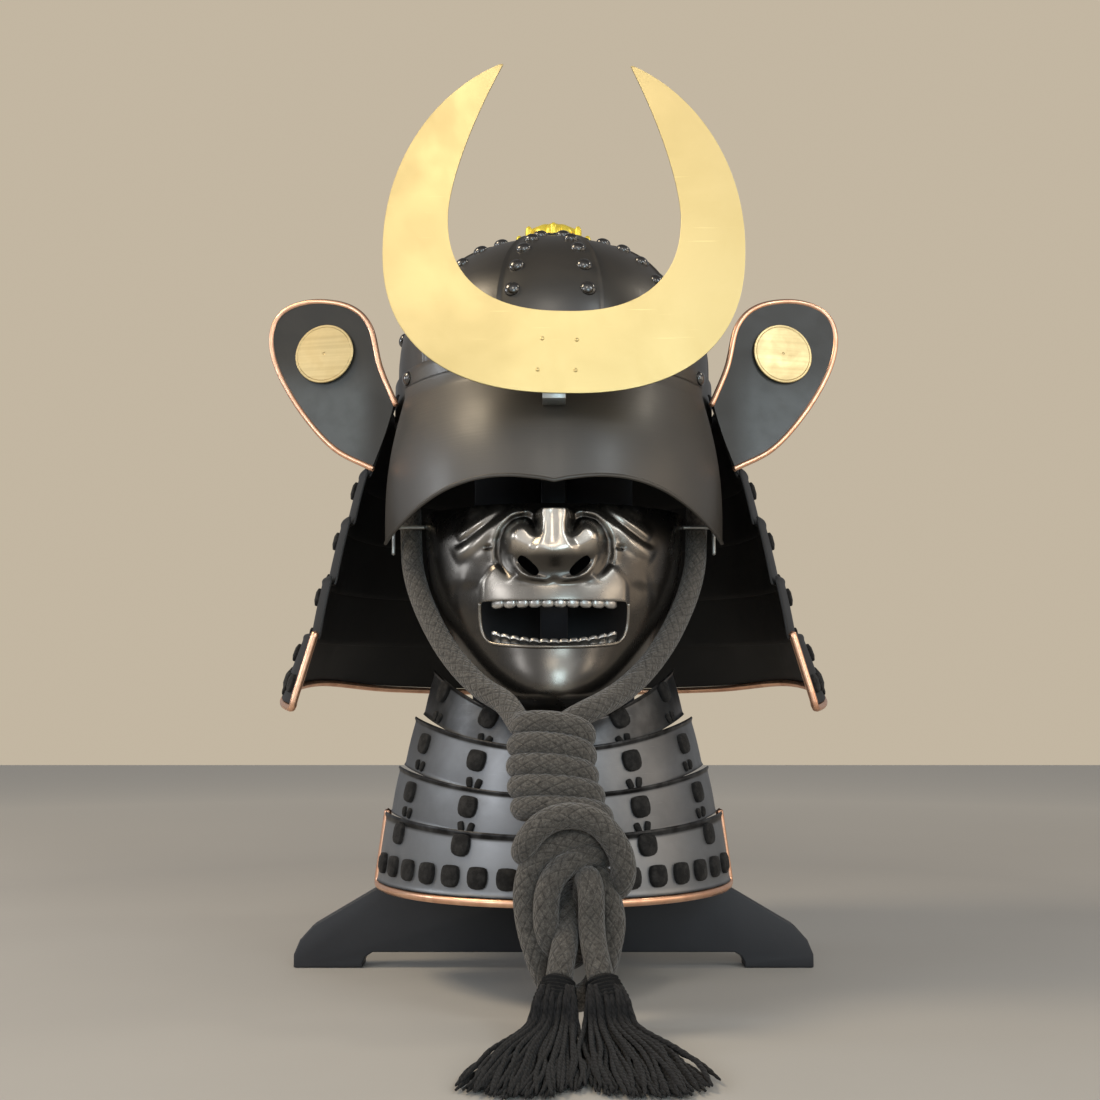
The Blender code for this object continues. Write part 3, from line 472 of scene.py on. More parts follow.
def swept(name: str, line: Sequence[Vector], radius: float | Callable[[float, float], float],
          sides: int, end_rows: int = 3) -> Object:
    """Round bar along a line, rounded off at both ends, with its UV map in metres.

    Args:
        name: name of the piece.
        line: the points that it follows.
        radius: its radius, or what gives it from the distance along and the angle round.
        sides: corners round the bar.
        end_rows: rows in each rounded end.

    Returns:
        The closed bar.
    """
    frames, reach = frame_along(line), distances(line)
    caps = [math.sin(QUARTER_TURN * index / end_rows) for index in range(end_rows)]
    rows = [(0, share, share - 1) for share in caps]
    rows += [(index, 1.0, 0.0) for index in range(len(line))]
    rows += [(len(line) - 1, share, 1 - share) for share in reversed(caps)]

    def place(turn: float, row: float) -> Vector:
        """Corner of a row.

        Args:
            turn: angle round the bar.
            row: its number.

        Returns:
            The corner.
        """
        index, share, push = rows[int(row)]
        size = radius(reach[index], turn) if callable(radius) else radius
        return frames[index] @ Vector((math.cos(turn) * size * share, math.sin(turn) * size * share,
                                       push * size * END_BULGE))

    obj = shaped_grid(name, evenly(0, FULL_TURN, sides), range(len(rows)), place)
    layer = obj.data.uv_layers[0].data
    for loop in obj.data.loops:
        u, v = layer[loop.index].uv
        layer[loop.index].uv = (u, reach[rows[round(v * (len(rows) - 1))][0]])
    return close_up(obj)


def on_surface(place: Place, column: float, row: float, step: Pair, turn: float = 0.0) -> Matrix:
    """Frame on a surface: X along its columns, Y up its rows and Z outward.

    Args:
        place: the surface.
        column: where on it, across.
        row: where on it, up.
        step: how far to each side the surface is felt.
        turn: angle that the frame is turned by about Z.

    Returns:
        The frame.
    """
    across = (place(column + step[0], row) - place(column - step[0], row)).normalized()
    up = place(column, row + step[1]) - place(column, row - step[1])
    out = across.cross(up).normalized()
    frame_there = frame_at(place(column, row), across, out.cross(across), out)
    return frame_there @ Matrix.Rotation(turn, 4, "Z")


def tone(obj: Object, values: Sequence[float]) -> Object:
    """Give every corner its share, 0 to 1, of the finish's second colour.

    Args:
        obj: the piece.
        values: the share at each corner.

    Returns:
        The piece.
    """
    layer = obj.data.attributes.new(SECOND_TONE, "FLOAT", "POINT")
    layer.data.foreach_set("value", values)
    return obj


def corners(obj: Object) -> np.ndarray:
    """Read where a mesh's corners are.

    Args:
        obj: the piece.

    Returns:
        A row of X, Y and Z for each corner.
    """
    spots = np.zeros(len(obj.data.vertices) * 3)
    obj.data.vertices.foreach_get("co", spots)
    return spots.reshape(-1, 3)


def cad_twin(name: str, node: str) -> Object:
    """Copy a CAD node's shape in the object's frame, with its flat faces made whole.

    Args:
        name: name of the copy.
        node: the node.

    Returns:
        The copy.
    """
    twin = bpy.data.objects.new(name, frame["nodes"][node].data.copy())
    twin.data.name = name
    bpy.context.scene.collection.objects.link(twin)
    with editing(close_up(twin, outward=False)):
        bpy.ops.mesh.dissolve_limited(angle_limit=math.radians(0.5))
    return twin


def dress(piece: Object, paint: Material, slot: Slot, *nodes: str, drawn: bool = True) -> Object:
    """Move a finished piece into the object's frame, paint it and tie it to its solids.

    Args:
        piece: the finished piece.
        paint: its material.
        slot: the record's slot that the material belongs to.
        nodes: the CAD nodes that it stands for.
        drawn: whether it is drawn about the helmet's own middle.

    Returns:
        The piece.
    """
    if drawn:
        piece.data.transform(Matrix.Translation(helmet_middle()))
    piece.data.materials.clear()
    piece.data.materials.append(paint)
    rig.ride(piece, "root")
    if nodes:
        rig.replaces(piece, *nodes)
    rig.slot(piece, slot.value)
    LOG.info("%s: %d faces", piece.name, len(piece.data.polygons))
    return piece


# ---- curves and tables

def evenly(first: float, last: float, count: int) -> list[float]:
    """Values from first to last in count equal steps."""
    return [first + (last - first) * index / count for index in range(count + 1)]


def read_table(table: Table, value: float) -> list[float]:
    """Row of a table, on smooth curves through its rows.

    Args:
        table: rows that start with the value that they are sorted by.
        value: where to read.

    Returns:
        The rest of the row there.
    """
    if value <= table[0][0]:
        return list(table[0][1:])
    if value >= table[-1][0]:
        return list(table[-1][1:])

    def slope(row: int, column: int) -> float:
        """Slope of a column at a row."""
        low, high = table[max(row - 1, 0)], table[min(row + 1, len(table) - 1)]
        return (high[column] - low[column]) / (high[0] - low[0])

    index = max(i for i in range(len(table) - 1) if table[i][0] <= value)
    low, high = table[index], table[index + 1]
    span = high[0] - low[0]
    share = (value - low[0]) / span
    square, cube = share * share, share ** 3
    return [low[column] * (2 * cube - 3 * square + 1)
            + slope(index, column) * span * (cube - 2 * square + share)
            + high[column] * (3 * square - 2 * cube)
            + slope(index + 1, column) * span * (cube - square) for column in range(1, len(low))]


def smooth_line(points: Sequence, steps: int) -> list[Vector]:
    """Draw a smooth Catmull-Rom curve through points.

    Args:
        points: what it goes through.
        steps: steps in each stretch.

    Returns:
        Points on the curve.
    """
    knots = [Vector(point) for point in points]
    knots = [2 * knots[0] - knots[1]] + knots + [2 * knots[-1] - knots[-2]]
    line = []
    for before, start, end, after in zip(knots, knots[1:], knots[2:], knots[3:]):
        for step in range(steps):
            share = step / steps
            square = share * share
            line.append(0.5 * (2 * start + (end - before) * share
                               + (2 * before - 5 * start + 4 * end - after) * square
                               + (3 * start - before - 3 * end + after) * square * share))
    return line + [knots[-2]]


def distances(line: Sequence[Vector]) -> list[float]:
    """Distance along a line to each of its points."""
    return [0.0, *accumulate((end - start).length for start, end in zip(line, line[1:]))]


def even_line(points: Sequence, spacing: float, steps: int = 24) -> list[Vector]:
    """Even out the points of a smooth curve.

    Args:
        points: what the curve goes through.
        spacing: wanted distance between the new points.
        steps: steps in each stretch, to measure the curve by.

    Returns:
        Points an equal distance apart.
    """
    fine = smooth_line(points, steps)
    reach = distances(fine)
    line, index = [], 0
    for goal in evenly(0.0, reach[-1], max(2, round(reach[-1] / spacing))):
        while index < len(fine) - 2 and reach[index + 1] < goal:
            index += 1
        share = (goal - reach[index]) / (reach[index + 1] - reach[index])
        line.append(fine[index].lerp(fine[index + 1], share))
    return line


def mirrored(line: Sequence[Vector]) -> list[Vector]:
    """The same line on the other side of the helmet, from its end to its start."""
    return [Vector((-point.x, point.y, point.z)) for point in reversed(line)]


def round_the_head(half_width: float, half_depth: float, azimuth: float, z: float,
                   middle_y: float = 0.0) -> Vector:
    """Point on a level oval round the head."""
    angle = math.radians(azimuth)
    return Vector((half_width * math.sin(angle), middle_y - half_depth * math.cos(angle), z))


# ---- node trees

class Tree:
    """Adds nodes to a node tree and joins them."""

    def __init__(self, tree: bpy.types.NodeTree) -> None:
        """Keep the tree."""
        self.tree = tree

    def add(self, kind: str, inputs: dict[str | int, object] | None = None,
            **settings: object) -> bpy.types.Node:
        """Add a node.

        Args:
            kind: the node's type.
            inputs: a socket or a value for each named or numbered input.
            settings: the node's own settings.

        Returns:
            The node.
        """
        node = self.tree.nodes.new(kind)
        for key, value in settings.items():
            setattr(node, key, value)
        for key, value in (inputs or {}).items():
            self.feed(node.inputs[key], value)
        return node

    def feed(self, socket: Socket, value: object) -> None:
        """Join a socket to another, or give it a value.

        Args:
            socket: what is fed.
            value: the other socket or the value.
        """
        if isinstance(value, Socket):
            self.tree.links.new(value, socket)
        else:
            socket.default_value = value

    def math(self, operation: str, first: object, second: object = 0.0) -> Socket:
        """Result of a sum on one or two values."""
        return self.add("ShaderNodeMath", {0: first, 1: second}, operation=operation).outputs[0]

    def times(self, first: object, second: object) -> Socket:
        """Product of two values."""
        return self.math("MULTIPLY", first, second)

    def ramp(self, value: Socket, low: float, high: float, to_low: float = 0.0,
             to_high: float = 1.0) -> Socket:
        """A value's range, low to high, moved to another and held inside it."""
        return self.add("ShaderNodeMapRange", {
            "Value": value, "From Min": low, "From Max": high, "To Min": to_low,
            "To Max": to_high}).outputs["Result"]

    def mix(self, share: object, first: object, second: object) -> Socket:
        """Mixture of two colours.

        Args:
            share: share of the second, 0 to 1.
            first: the first colour.
            second: the second colour.

        Returns:
            The mixture.
        """
        node = self.add("ShaderNodeMix", data_type="RGBA")
        self.feed(node.inputs["Factor"], share)
        colours = [socket for socket in node.inputs if socket.type == "RGBA"]
        for socket, value in zip(colours, (first, second)):
            self.feed(socket, value if isinstance(value, Socket) else (*value, 1.0))
        return next(socket for socket in node.outputs if socket.type == "RGBA")

    def noise(self, vector: Socket, scale: object, detail: float = 3.0, roughness: float = 0.5,
              distortion: float = 0.0) -> Socket:
        """Noise on a vector."""
        return self.add("ShaderNodeTexNoise", {
            "Vector": vector, "Scale": scale, "Detail": detail, "Roughness": roughness,
            "Distortion": distortion}).outputs[0]

    def stretched(self, vector: Socket, scale: Point, turn: Point = (0, 0, 0)) -> Socket:
        """A vector turned and stretched."""
        sockets = {"Vector": vector, "Scale": scale, "Rotation": turn}
        return self.add("ShaderNodeMapping", sockets).outputs["Vector"]


class Effect:
    """Node group with named inputs and outputs, which several materials share."""

    def __init__(self, name: str, inputs: dict[str, float | None], outputs: Sequence[str]) -> None:
        """Make the group's sockets.

        Args:
            name: name of the group.
            inputs: each input's usual value, or None for a vector.
            outputs: names of the values it gives.
        """
        self.group = bpy.data.node_groups.new(name, "ShaderNodeTree")
        self.tree = Tree(self.group)
        for key, value in inputs.items():
            kind = "NodeSocketVector" if value is None else "NodeSocketFloat"
            socket = self.group.interface.new_socket(name=key, in_out="INPUT", socket_type=kind)
            if value is not None:
                socket.default_value = value
        for key in outputs:
            self.group.interface.new_socket(name=key, in_out="OUTPUT",
                                            socket_type="NodeSocketFloat")
        self.given = self.tree.add("NodeGroupInput").outputs
        self.result = self.tree.add("NodeGroupOutput").inputs

    def give(self, **values: Socket) -> None:
        """Join the group's results to its outputs."""
        for key, value in values.items():
            self.tree.feed(self.result[key], value)

    def used(self, tree: Tree, inputs: dict[str, object]) -> bpy.types.NodeOutputs:
        """Place the group in a material with its own values.

        Args:
            tree: the material's tree.
            inputs: a socket or a value for each input.

        Returns:
            The group's outputs there.
        """
        node = tree.add("ShaderNodeGroup", node_tree=self.group)
        for key, value in inputs.items():
            tree.feed(node.inputs[key], value)
        return node.outputs


def handling_effect() -> Effect:
    """Blotches from handling, faint rubbed patches and thin scratches.

    Returns:
        The node group.
    """
    effect = Effect("handling", {"Vector": None, "Blotch Scale": 30.0, "Scratch Scale": 60.0},
                    ("Blotch", "Scratch"))
    tree, given = effect.tree, effect.given
    cloud = tree.noise(given["Vector"], given["Blotch Scale"], 5.0, 0.62, 0.4)
    lines = []
    for turn, stretch in ((0.5, 26.0), (-0.9, 30.0)):
        bent = tree.stretched(given["Vector"], (1.0, 1.0, stretch), (0.2, turn, 0.3))
        lines.append(tree.ramp(tree.noise(bent, given["Scratch Scale"], 2.0), 0.71, 0.76))
    effect.give(Blotch=tree.ramp(cloud, 0.36, 0.66), Scratch=tree.math("MAXIMUM", *lines))
    return effect


def grain_effect() -> Effect:
    """Fine cast or sprayed grain.

    Returns:
        The node group.
    """
    effect = Effect("grain", {"Vector": None, "Scale": 900.0, "Pits": 0.35}, ("Height",))
    tree, given = effect.tree, effect.given
    fine = tree.noise(given["Vector"], given["Scale"])
    cells = tree.add("ShaderNodeTexVoronoi", {
        "Vector": given["Vector"], "Scale": tree.times(given["Scale"], 0.23)}).outputs[0]
    pits = tree.times(tree.ramp(cells, 0.0, 0.35, 1.0, 0.0), given["Pits"])
    effect.give(Height=tree.math("SUBTRACT", fine, pits))
    return effect


def braid_effect() -> Effect:
    """Two sets of strands that cross over and under each other round a cord.

    Returns:
        The node group.
    """
    effect = Effect("braid", {"Vector": None, "Strands": 10.0, "Pitch": 150.0},
                    ("Height", "Gap", "Fibre"))
    tree, given = effect.tree, effect.given
    parts = tree.add("ShaderNodeSeparateXYZ", {"Vector": given["Vector"]}).outputs
    round_it = tree.times(parts["X"], given["Strands"])
    along = tree.times(parts["Y"], given["Pitch"])
    heights = []
    for operation in ("ADD", "SUBTRACT"):
        phase = tree.times(tree.math(operation, round_it, along), math.pi)
        heights.append(tree.math("ABSOLUTE", tree.math("SINE", phase)))
    spot = tree.add("ShaderNodeCombineXYZ", {"X": round_it, "Y": along}).outputs[0]
    checks = tree.add("ShaderNodeTexChecker", {"Vector": spot, "Scale": 1.0}).outputs[1]
    height = tree.math("ADD", tree.times(heights[0], checks),
                       tree.times(heights[1], tree.math("SUBTRACT", 1.0, checks)))
    fibre = tree.noise(tree.stretched(given["Vector"], (60.0, 900.0, 1.0), (0, 0, 0.5)), 3.0)
    effect.give(Height=height, Gap=tree.ramp(height, 0.0, 0.45, 1.0, 0.0), Fibre=fibre)
    return effect


def twist_effect() -> Effect:
    """Plies twisted round each other along a yarn.

    Returns:
        The node group.
    """
    effect = Effect("twist", {"Vector": None, "Plies": 3.0, "Pitch": 160.0},
                    ("Height", "Gap", "Fibre"))
    tree, given = effect.tree, effect.given
    parts = tree.add("ShaderNodeSeparateXYZ", {"Vector": given["Vector"]}).outputs
    phase = tree.math("ADD", tree.times(parts["X"], given["Plies"]),
                      tree.times(parts["Y"], given["Pitch"]))
    height = tree.math("ABSOLUTE", tree.math("SINE", tree.times(phase, math.pi)))
    fibre = tree.noise(tree.stretched(given["Vector"], (40.0, 500.0, 1.0), (0, 0, 0.7)), 3.0, 4.0)
    effect.give(Height=height, Gap=tree.ramp(height, 0.0, 0.5, 1.0, 0.0), Fibre=fibre)
    return effect


class Surface(Tree):
    """Node tree of a new material, round its own shader."""

    def __init__(self, name: str) -> None:
        """Make the material and its texture coordinates."""
        self.material = bpy.data.materials.new(name)
        self.material.use_nodes = True
        super().__init__(self.material.node_tree)
        self.coordinates = self.add("ShaderNodeTexCoord").outputs
        self.place = self.coordinates["Object"]

    def bump(self, height: Socket, strength: float, distance: float) -> Socket:
        """Normal that follows a height."""
        sockets = {"Strength": strength, "Distance": distance, "Height": height}
        return self.add("ShaderNodeBump", sockets).outputs["Normal"]

    def finish(self, inputs: dict[str, object]) -> Material:
        """Feed the shader.

        Args:
            inputs: a socket or a constant for each of its inputs.

        Returns:
            The material.
        """
        shader = self.tree.nodes["Principled BSDF"]
        for key, value in inputs.items():
            self.feed(shader.inputs[key], value)
        return self.material


@dataclass
class Effects:
    """The node groups that the finishes share, built once."""

    handling: Effect = field(default_factory=handling_effect)
    grain: Effect = field(default_factory=grain_effect)
    braid: Effect = field(default_factory=braid_effect)
    twist: Effect = field(default_factory=twist_effect)


@dataclass(frozen=True)
class HardFinish:
    """Metal, lacquer or paint.

    The stain is the colour in handled blotches, the sheen the roughness in clear and in
    blotched places, and the brushing draws level lines over the piece. The second colour, if
    there is one, shows where the piece's own second_tone attribute says.
    """

    name: str
    colour: Colour
    stain: Colour
    metallic: float
    sheen: Pair
    blotch_scale: float = 30.0
    blotch: float = 0.6
    scratch: float = 0.25
    scratch_scale: float = 60.0
    grain: float = 0.15
    grain_scale: float = 900.0
    brushing: float = 0.0
    brush_lines: float = 900.0
    coat: float = 0.0
    specular: float = 0.5
    second: Colour | None = None

    def material(self, effects: Effects) -> Material:
        """Make the finish's material.

        Args:
            effects: the shared node groups.

        Returns:
            The material.
        """
        tree = Surface(self.name)
        marks = effects.handling.used(tree, {
            "Vector": tree.place, "Blotch Scale": self.blotch_scale,
            "Scratch Scale": self.scratch_scale})
        blotch = tree.times(marks["Blotch"], self.blotch)
        scratch = tree.times(marks["Scratch"], self.scratch)
        light = tuple(min(1.0, value * 1.5 + 0.02) for value in self.colour)
        colour = tree.mix(blotch, self.colour, self.stain)
        if self.second:
            toned = tree.add("ShaderNodeAttribute", attribute_name=SECOND_TONE).outputs["Fac"]
            cloud = tree.ramp(tree.noise(tree.place, 90.0, 4.0), 0.3, 0.6, 0.75, 1.0)
            colour = tree.mix(tree.times(toned, cloud), colour, self.second)
        colour = tree.mix(scratch, colour, light)
        grain = effects.grain.used(tree, {"Vector": tree.place, "Scale": self.grain_scale})
        height = grain["Height"]
        if self.brushing:
            lines = tree.noise(tree.stretched(tree.place, (6.0, 6.0, self.brush_lines)), 1.0, 2.0)
            colour = tree.mix(tree.times(lines, self.brushing), colour, self.stain)
            height = tree.math("ADD", height, tree.times(lines, 2.0))
        height = tree.math("SUBTRACT", height, scratch)
        return tree.finish({
            "Base Color": colour, "Roughness": tree.ramp(marks["Blotch"], 0.0, 1.0, *self.sheen),
            "Normal": tree.bump(height, self.grain, 0.0002), "Metallic": self.metallic,
            "Coat Weight": self.coat, "Coat Roughness": 0.22, "Specular IOR Level": self.specular})


@dataclass(frozen=True)
class FibreFinish:
    """Braided cord, twisted yarn or napped pads, from the colour of fibre and a painted shade in the gaps between
    strands.
    """

    name: str
    colour: Colour
    pale: Colour
    gap: Colour
    depth: float
    strands: float = 10.0
    pitch: float = 150.0
    sheen: float = 0.25
    braided: bool = True

    def material(self, effects: Effects) -> Material:
        """Make the finish's material.

        Args:
            effects: the shared node groups.

        Returns:
            The material.
        """
        tree = Surface(self.name)
        effect = effects.braid if self.braided else effects.twist
        names = {"Strands" if self.braided else "Plies": self.strands, "Pitch": self.pitch}
        weave = effect.used(tree, {"Vector": tree.coordinates["UV"], **names})
        mottle = tree.ramp(tree.noise(tree.place, 420.0, 5.0, 0.75), 0.38, 0.64)
        fleck = tree.ramp(weave["Fibre"], 0.38, 0.68)
        colour = tree.mix(tree.times(fleck, mottle), self.colour, self.pale)
        gap_shade_share = tree.ramp(mottle, 0.0, 1.0, 0.85, 0.35)
        height = tree.math("ADD", weave["Height"], tree.times(weave["Fibre"], 0.35))
        return tree.finish({
            # painted shade: the gaps between strands are darkened, less so where the mottle is high
            "Base Color": tree.mix(tree.times(weave["Gap"], gap_shade_share), colour, self.gap),
            "Normal": tree.bump(height, 0.9, self.depth),
            "Roughness": tree.ramp(mottle, 0.0, 1.0, 0.95, 0.8),
            "Sheen Weight": self.sheen, "Sheen Roughness": 0.5, "Specular IOR Level": 0.2})


@dataclass(frozen=True)
class NapFinish:
    """Dark napped hide of the lacing pads."""

    name: str
    colour: Colour
    pale: Colour

    def material(self, effects: Effects) -> Material:
        """Make the finish's material, with nap, pores and rubbed places.

        Args:
            effects: the shared node groups.

        Returns:
            The material.
        """
        tree = Surface(self.name)
        rubbed = tree.ramp(tree.noise(tree.place, 180.0, 4.0, 0.65), 0.42, 0.7)
        grain = effects.grain.used(tree, {"Vector": tree.place, "Scale": 1500.0, "Pits": 0.6})
        nap = tree.times(tree.noise(tree.place, 1900.0, 2.0), 0.6)
        height = tree.math("ADD", nap, grain["Height"])
        return tree.finish({
            "Base Color": tree.mix(rubbed, self.colour, self.pale),
            "Roughness": tree.ramp(rubbed, 0.0, 1.0, 0.88, 0.7),
            "Normal": tree.bump(height, 0.6, 0.0004), "Sheen Weight": 0.05,
            "Specular IOR Level": 0.25})


class Palette:
    """Every material of the helmet, made once."""

    def __init__(self) -> None:
        """Make the shared groups and the materials."""
        effects = Effects()
        hard = (
            HardFinish("satin_black_lacquer", (0.027, 0.024, 0.02), (0.041, 0.034, 0.027), 0.0,
                       (0.34, 0.45), blotch_scale=14, scratch=0.08, coat=0.12, specular=0.85),
            HardFinish("brushed_lacquer", (0.027, 0.024, 0.02), (0.041, 0.034, 0.027), 0.0,
                       (0.42, 0.52), blotch_scale=14, scratch=0.08, brushing=0.5, coat=0.08,
                       specular=0.85),
            HardFinish("glossy_rivet_lacquer", (0.016, 0.014, 0.013), (0.03, 0.026, 0.023), 0.0,
                       (0.16, 0.24), scratch=0.1, coat=0.6, specular=1.0),
            # its second colour paints the mask's rubbed wear and its painted highlights
            HardFinish("burnished_gunmetal", (0.092, 0.086, 0.079), (0.06, 0.054, 0.048), 0.96,
                       (0.23, 0.31), blotch_scale=22, blotch=0.45, scratch=0.12, grain=0.05,
                       second=(0.56, 0.515, 0.455)),
            HardFinish("pewter", (0.56, 0.55, 0.53), (0.22, 0.21, 0.2), 0.92, (0.26, 0.38),
                       blotch_scale=160, scratch=0.2),
            HardFinish("grey_iron", (0.42, 0.43, 0.42), (0.24, 0.25, 0.24), 0.9, (0.34, 0.48),
                       blotch_scale=120),
            HardFinish("pale_brass", (0.715, 0.56, 0.262), (0.67, 0.515, 0.228), 1.0, (0.38, 0.5),
                       blotch_scale=16, blotch=0.5, scratch=0.35, scratch_scale=16, grain=0.1),
            HardFinish("brushed_brass", (0.74, 0.6, 0.32), (0.42, 0.31, 0.15), 1.0, (0.36, 0.46),
                       blotch_scale=60, blotch=0.3, scratch=0.2, grain=0.08, brushing=0.8,
                       brush_lines=380.0),
            HardFinish("gilt", (1.0, 0.8, 0.1), (0.95, 0.68, 0.06), 0.45, (0.28, 0.4),
                       blotch_scale=140, scratch=0.15),
            HardFinish("copper", (1.0, 0.62, 0.42), (0.66, 0.33, 0.21), 1.0, (0.28, 0.42),
                       blotch_scale=70, scratch=0.2),
            # its second colour is a painted sheen on the wings' lower outer part
            HardFinish("blue_black_satin", (0.016, 0.0155, 0.013), (0.026, 0.025, 0.021), 0.05,
                       (0.36, 0.46), blotch_scale=20, scratch=0.1, specular=0.45,
                       second=(0.088, 0.1, 0.106)),
            HardFinish("matt_black_lacquer", (0.0085, 0.0085, 0.009), (0.016, 0.0155, 0.015), 0.0,
                       (0.44, 0.58), blotch_scale=18, scratch=0.06, specular=0.35),
            # its near-black second colour paints shade over the upper lames and darkens bands along each lame's top
            # and bottom edges
            HardFinish("grey_blue_satin", (0.24, 0.25, 0.265), (0.165, 0.17, 0.18), 0.75,
                       (0.36, 0.47), blotch_scale=16, scratch=0.15, second=(0.01, 0.01, 0.011)),
            HardFinish("board_lacquer", (0.016, 0.018, 0.023), (0.026, 0.028, 0.034), 0.0,
                       (0.46, 0.58), blotch_scale=12, scratch=0.06, grain=0.25, specular=0.5),
        )
        fibre = (
            # the last colour of each is the painted shade in the gaps between strands
            FibreFinish("braided_cord", (0.05, 0.045, 0.04), (0.215, 0.198, 0.176),
                        (0.02, 0.018, 0.016), 0.0005, 16.0, 240.0),
            FibreFinish("twisted_yarn", (0.013, 0.0125, 0.013), (0.042, 0.04, 0.041),
                        (0.004, 0.004, 0.004), 0.0003, 3.0, 240.0, 0.06, braided=False),
        )
        nap = (NapFinish("napped_pads", (0.0085, 0.008, 0.008), (0.024, 0.0225, 0.0215)),)
        self.made = {finish.name: finish.material(effects) for finish in hard + fibre + nap}

    def __getitem__(self, name: str) -> Material:
        """The material of a name."""
        return self.made[name]


# ---- bowl, band and brim

RIVET_HEAD = (  # radius, height of a domed rivet
    (0.0054, -0.0016), (0.0054, 0.0003), (0.0051, 0.0012), (0.0042, 0.0023), (0.0028, 0.0031),
    (0.0013, 0.0035), (0.0, 0.0036))


def rivet(name: str, places: Iterable[Matrix], paints: Palette) -> None:
    """Set domed rivets at places, as one piece of the given name."""
    rivets = smooth(copies(name, turned("rivet", RIVET_HEAD, 16), places), 50)
    dress(rivets, paints["glossy_rivet_lacquer"], Slot.LACQUER)


@dataclass
class Bowl:
    """Riveted bowl: plates that each rise over the next at a seam."""

    half_width: float = 0.115
    half_depth: float = 0.133
    rim_z: float = 0.392
    base_z: float = 0.437
    height: float = 0.0935
    wall: float = 0.002
    seams: tuple[int, ...] = (18, 50, 88, 126, 162)  # azimuths
    seam_step: float = 0.3
    seam_turn: float = -1.3
    rise: float = 0.0013
    roll: float = 0.9
    roll_width: float = 1.0
    rivet_elevations: tuple[float, ...] = (12.5, 25, 37.5, 49, 60, 70)
    rivet_setback: float = 0.0115

    def plate_rise(self, azimuth: float) -> float:
        """How far a plate stands out, with a roll along its raised edge.

        Args:
            azimuth: place round the bowl.

        Returns:
            Share of the usual rise.
        """
        away = abs(azimuth)
        if away <= self.seams[0]:
            return 1.0 + self.roll * math.exp(-((self.seams[0] - away) / self.roll_width) ** 2)
        for start, end in zip(self.seams, self.seams[1:]):
            if away <= end:
                share = max(0.0, (away - start - self.seam_step) / (end - start - self.seam_step))
                roll = self.roll * math.exp(-((end - away) / self.roll_width) ** 2)
                return share + roll * min(1.0, 4 * share)
        return 0.0

    def point(self, azimuth: float, row: float) -> Vector:
        """Point on the outer face.

        Args:
            azimuth: place round the bowl.
            row: -1 at the rim, 0 at the dome's base and 90 at the crown.

        Returns:
            The point.
        """
        elevation = math.radians(max(row, 0))
        tucked = 0.7 + 0.3 * min(1.0, max(0.0, (row + 0.4) / 0.2))
        proud = self.rise * self.plate_rise(azimuth) * min(tucked, 2 * math.cos(elevation))
        reach = math.cos(elevation)
        z = self.base_z + min(row, 0) * (self.base_z - self.rim_z)
        z += (self.height + proud) * math.sin(elevation)
        return round_the_head((self.half_width + proud) * reach, (self.half_depth + proud) * reach,
                              azimuth + self.seam_turn, z)

    def columns(self) -> list[float]:
        """Choose azimuths right round, close-set at the seams.

        Returns:
            The azimuths.
        """
        half = evenly(0, self.seams[0] - 2.4, 12) + evenly(self.seams[0] - 2.2, self.seams[0], 11)
        edges = [*self.seams, 180]
        for start, end in zip(edges, edges[1:]):
            half.append(start + self.seam_step * 0.25)
            half.append(start + self.seam_step * 0.75)
            half.extend(evenly(start + self.seam_step, end - 2.4, 18))
            half.extend(evenly(end - 2.2, end, 11))
        return [-azimuth for azimuth in reversed(half[1:])] + half

    def build(self, paints: Palette) -> None:
        """Make the plates and their rivets.

        Args:
            paints: the materials.
        """
        rows = evenly(-1, 0, 5)[:-1] + evenly(0, 84, 34) + [87, 89, 90]
        shell = shaped_grid("helmet_bowl", self.columns(), rows, self.point)
        close_up(shell, outward=False)
        smooth(soften(wall(shell, self.wall), 0.0003, 1, 62), 32)
        dress(shell, paints["satin_black_lacquer"], Slot.LACQUER, "bowl")
        places = []
        for seam in self.seams:
            for elevation in self.rivet_elevations:
                radius = self.half_depth * math.cos(math.radians(elevation))
                azimuth = seam - math.degrees(self.rivet_setback / radius)
                places += [on_surface(self.point, side.value * azimuth, elevation, (0.3, 0.5))
                           for side in Side]
        rivet("bowl_rivets", places, paints)


@dataclass
class WaistBand:
    """Band round the bowl's rim, which carries the brim and the neck guard."""

    bowl: Bowl
    wall: float = 0.0017
    clearance: float = 0.0009
    low_z: float = 0.389
    high_z: float = 0.419
    rivet_azimuths: tuple[int, ...] = (60, 105, 150)
    rivet_drop: float = 0.0065

    @property
    def proud(self) -> float:
        """How far the band's face stands out from the bowl's plain rim."""
        return self.bowl.rise + self.clearance + self.wall

    def point(self, azimuth: float, z: float) -> Vector:
        """Outer face of the band."""
        return round_the_head(self.bowl.half_width + self.proud, self.bowl.half_depth + self.proud,
                              azimuth, z)

    def build(self, paints: Palette) -> None:
        """Make the band, its rolled edges and its rivets.

        Args:
            paints: the materials.
        """
        rows = evenly(self.low_z, self.high_z, 6)
        band = close_up(shaped_grid("waist_band_plate", evenly(-180, 180, 160), rows, self.point),
                        outward=False)
        smooth(soften(wall(band, self.wall), 0.0005, 2, 60), 35)
        dress(band, paints["satin_black_lacquer"], Slot.LACQUER, "waist_band")
        z = self.high_z - self.rivet_drop
        rivet("band_rivets", [on_surface(self.point, side.value * azimuth, z, (0.3, 0.001))
                              for azimuth in self.rivet_azimuths for side in Side], paints)


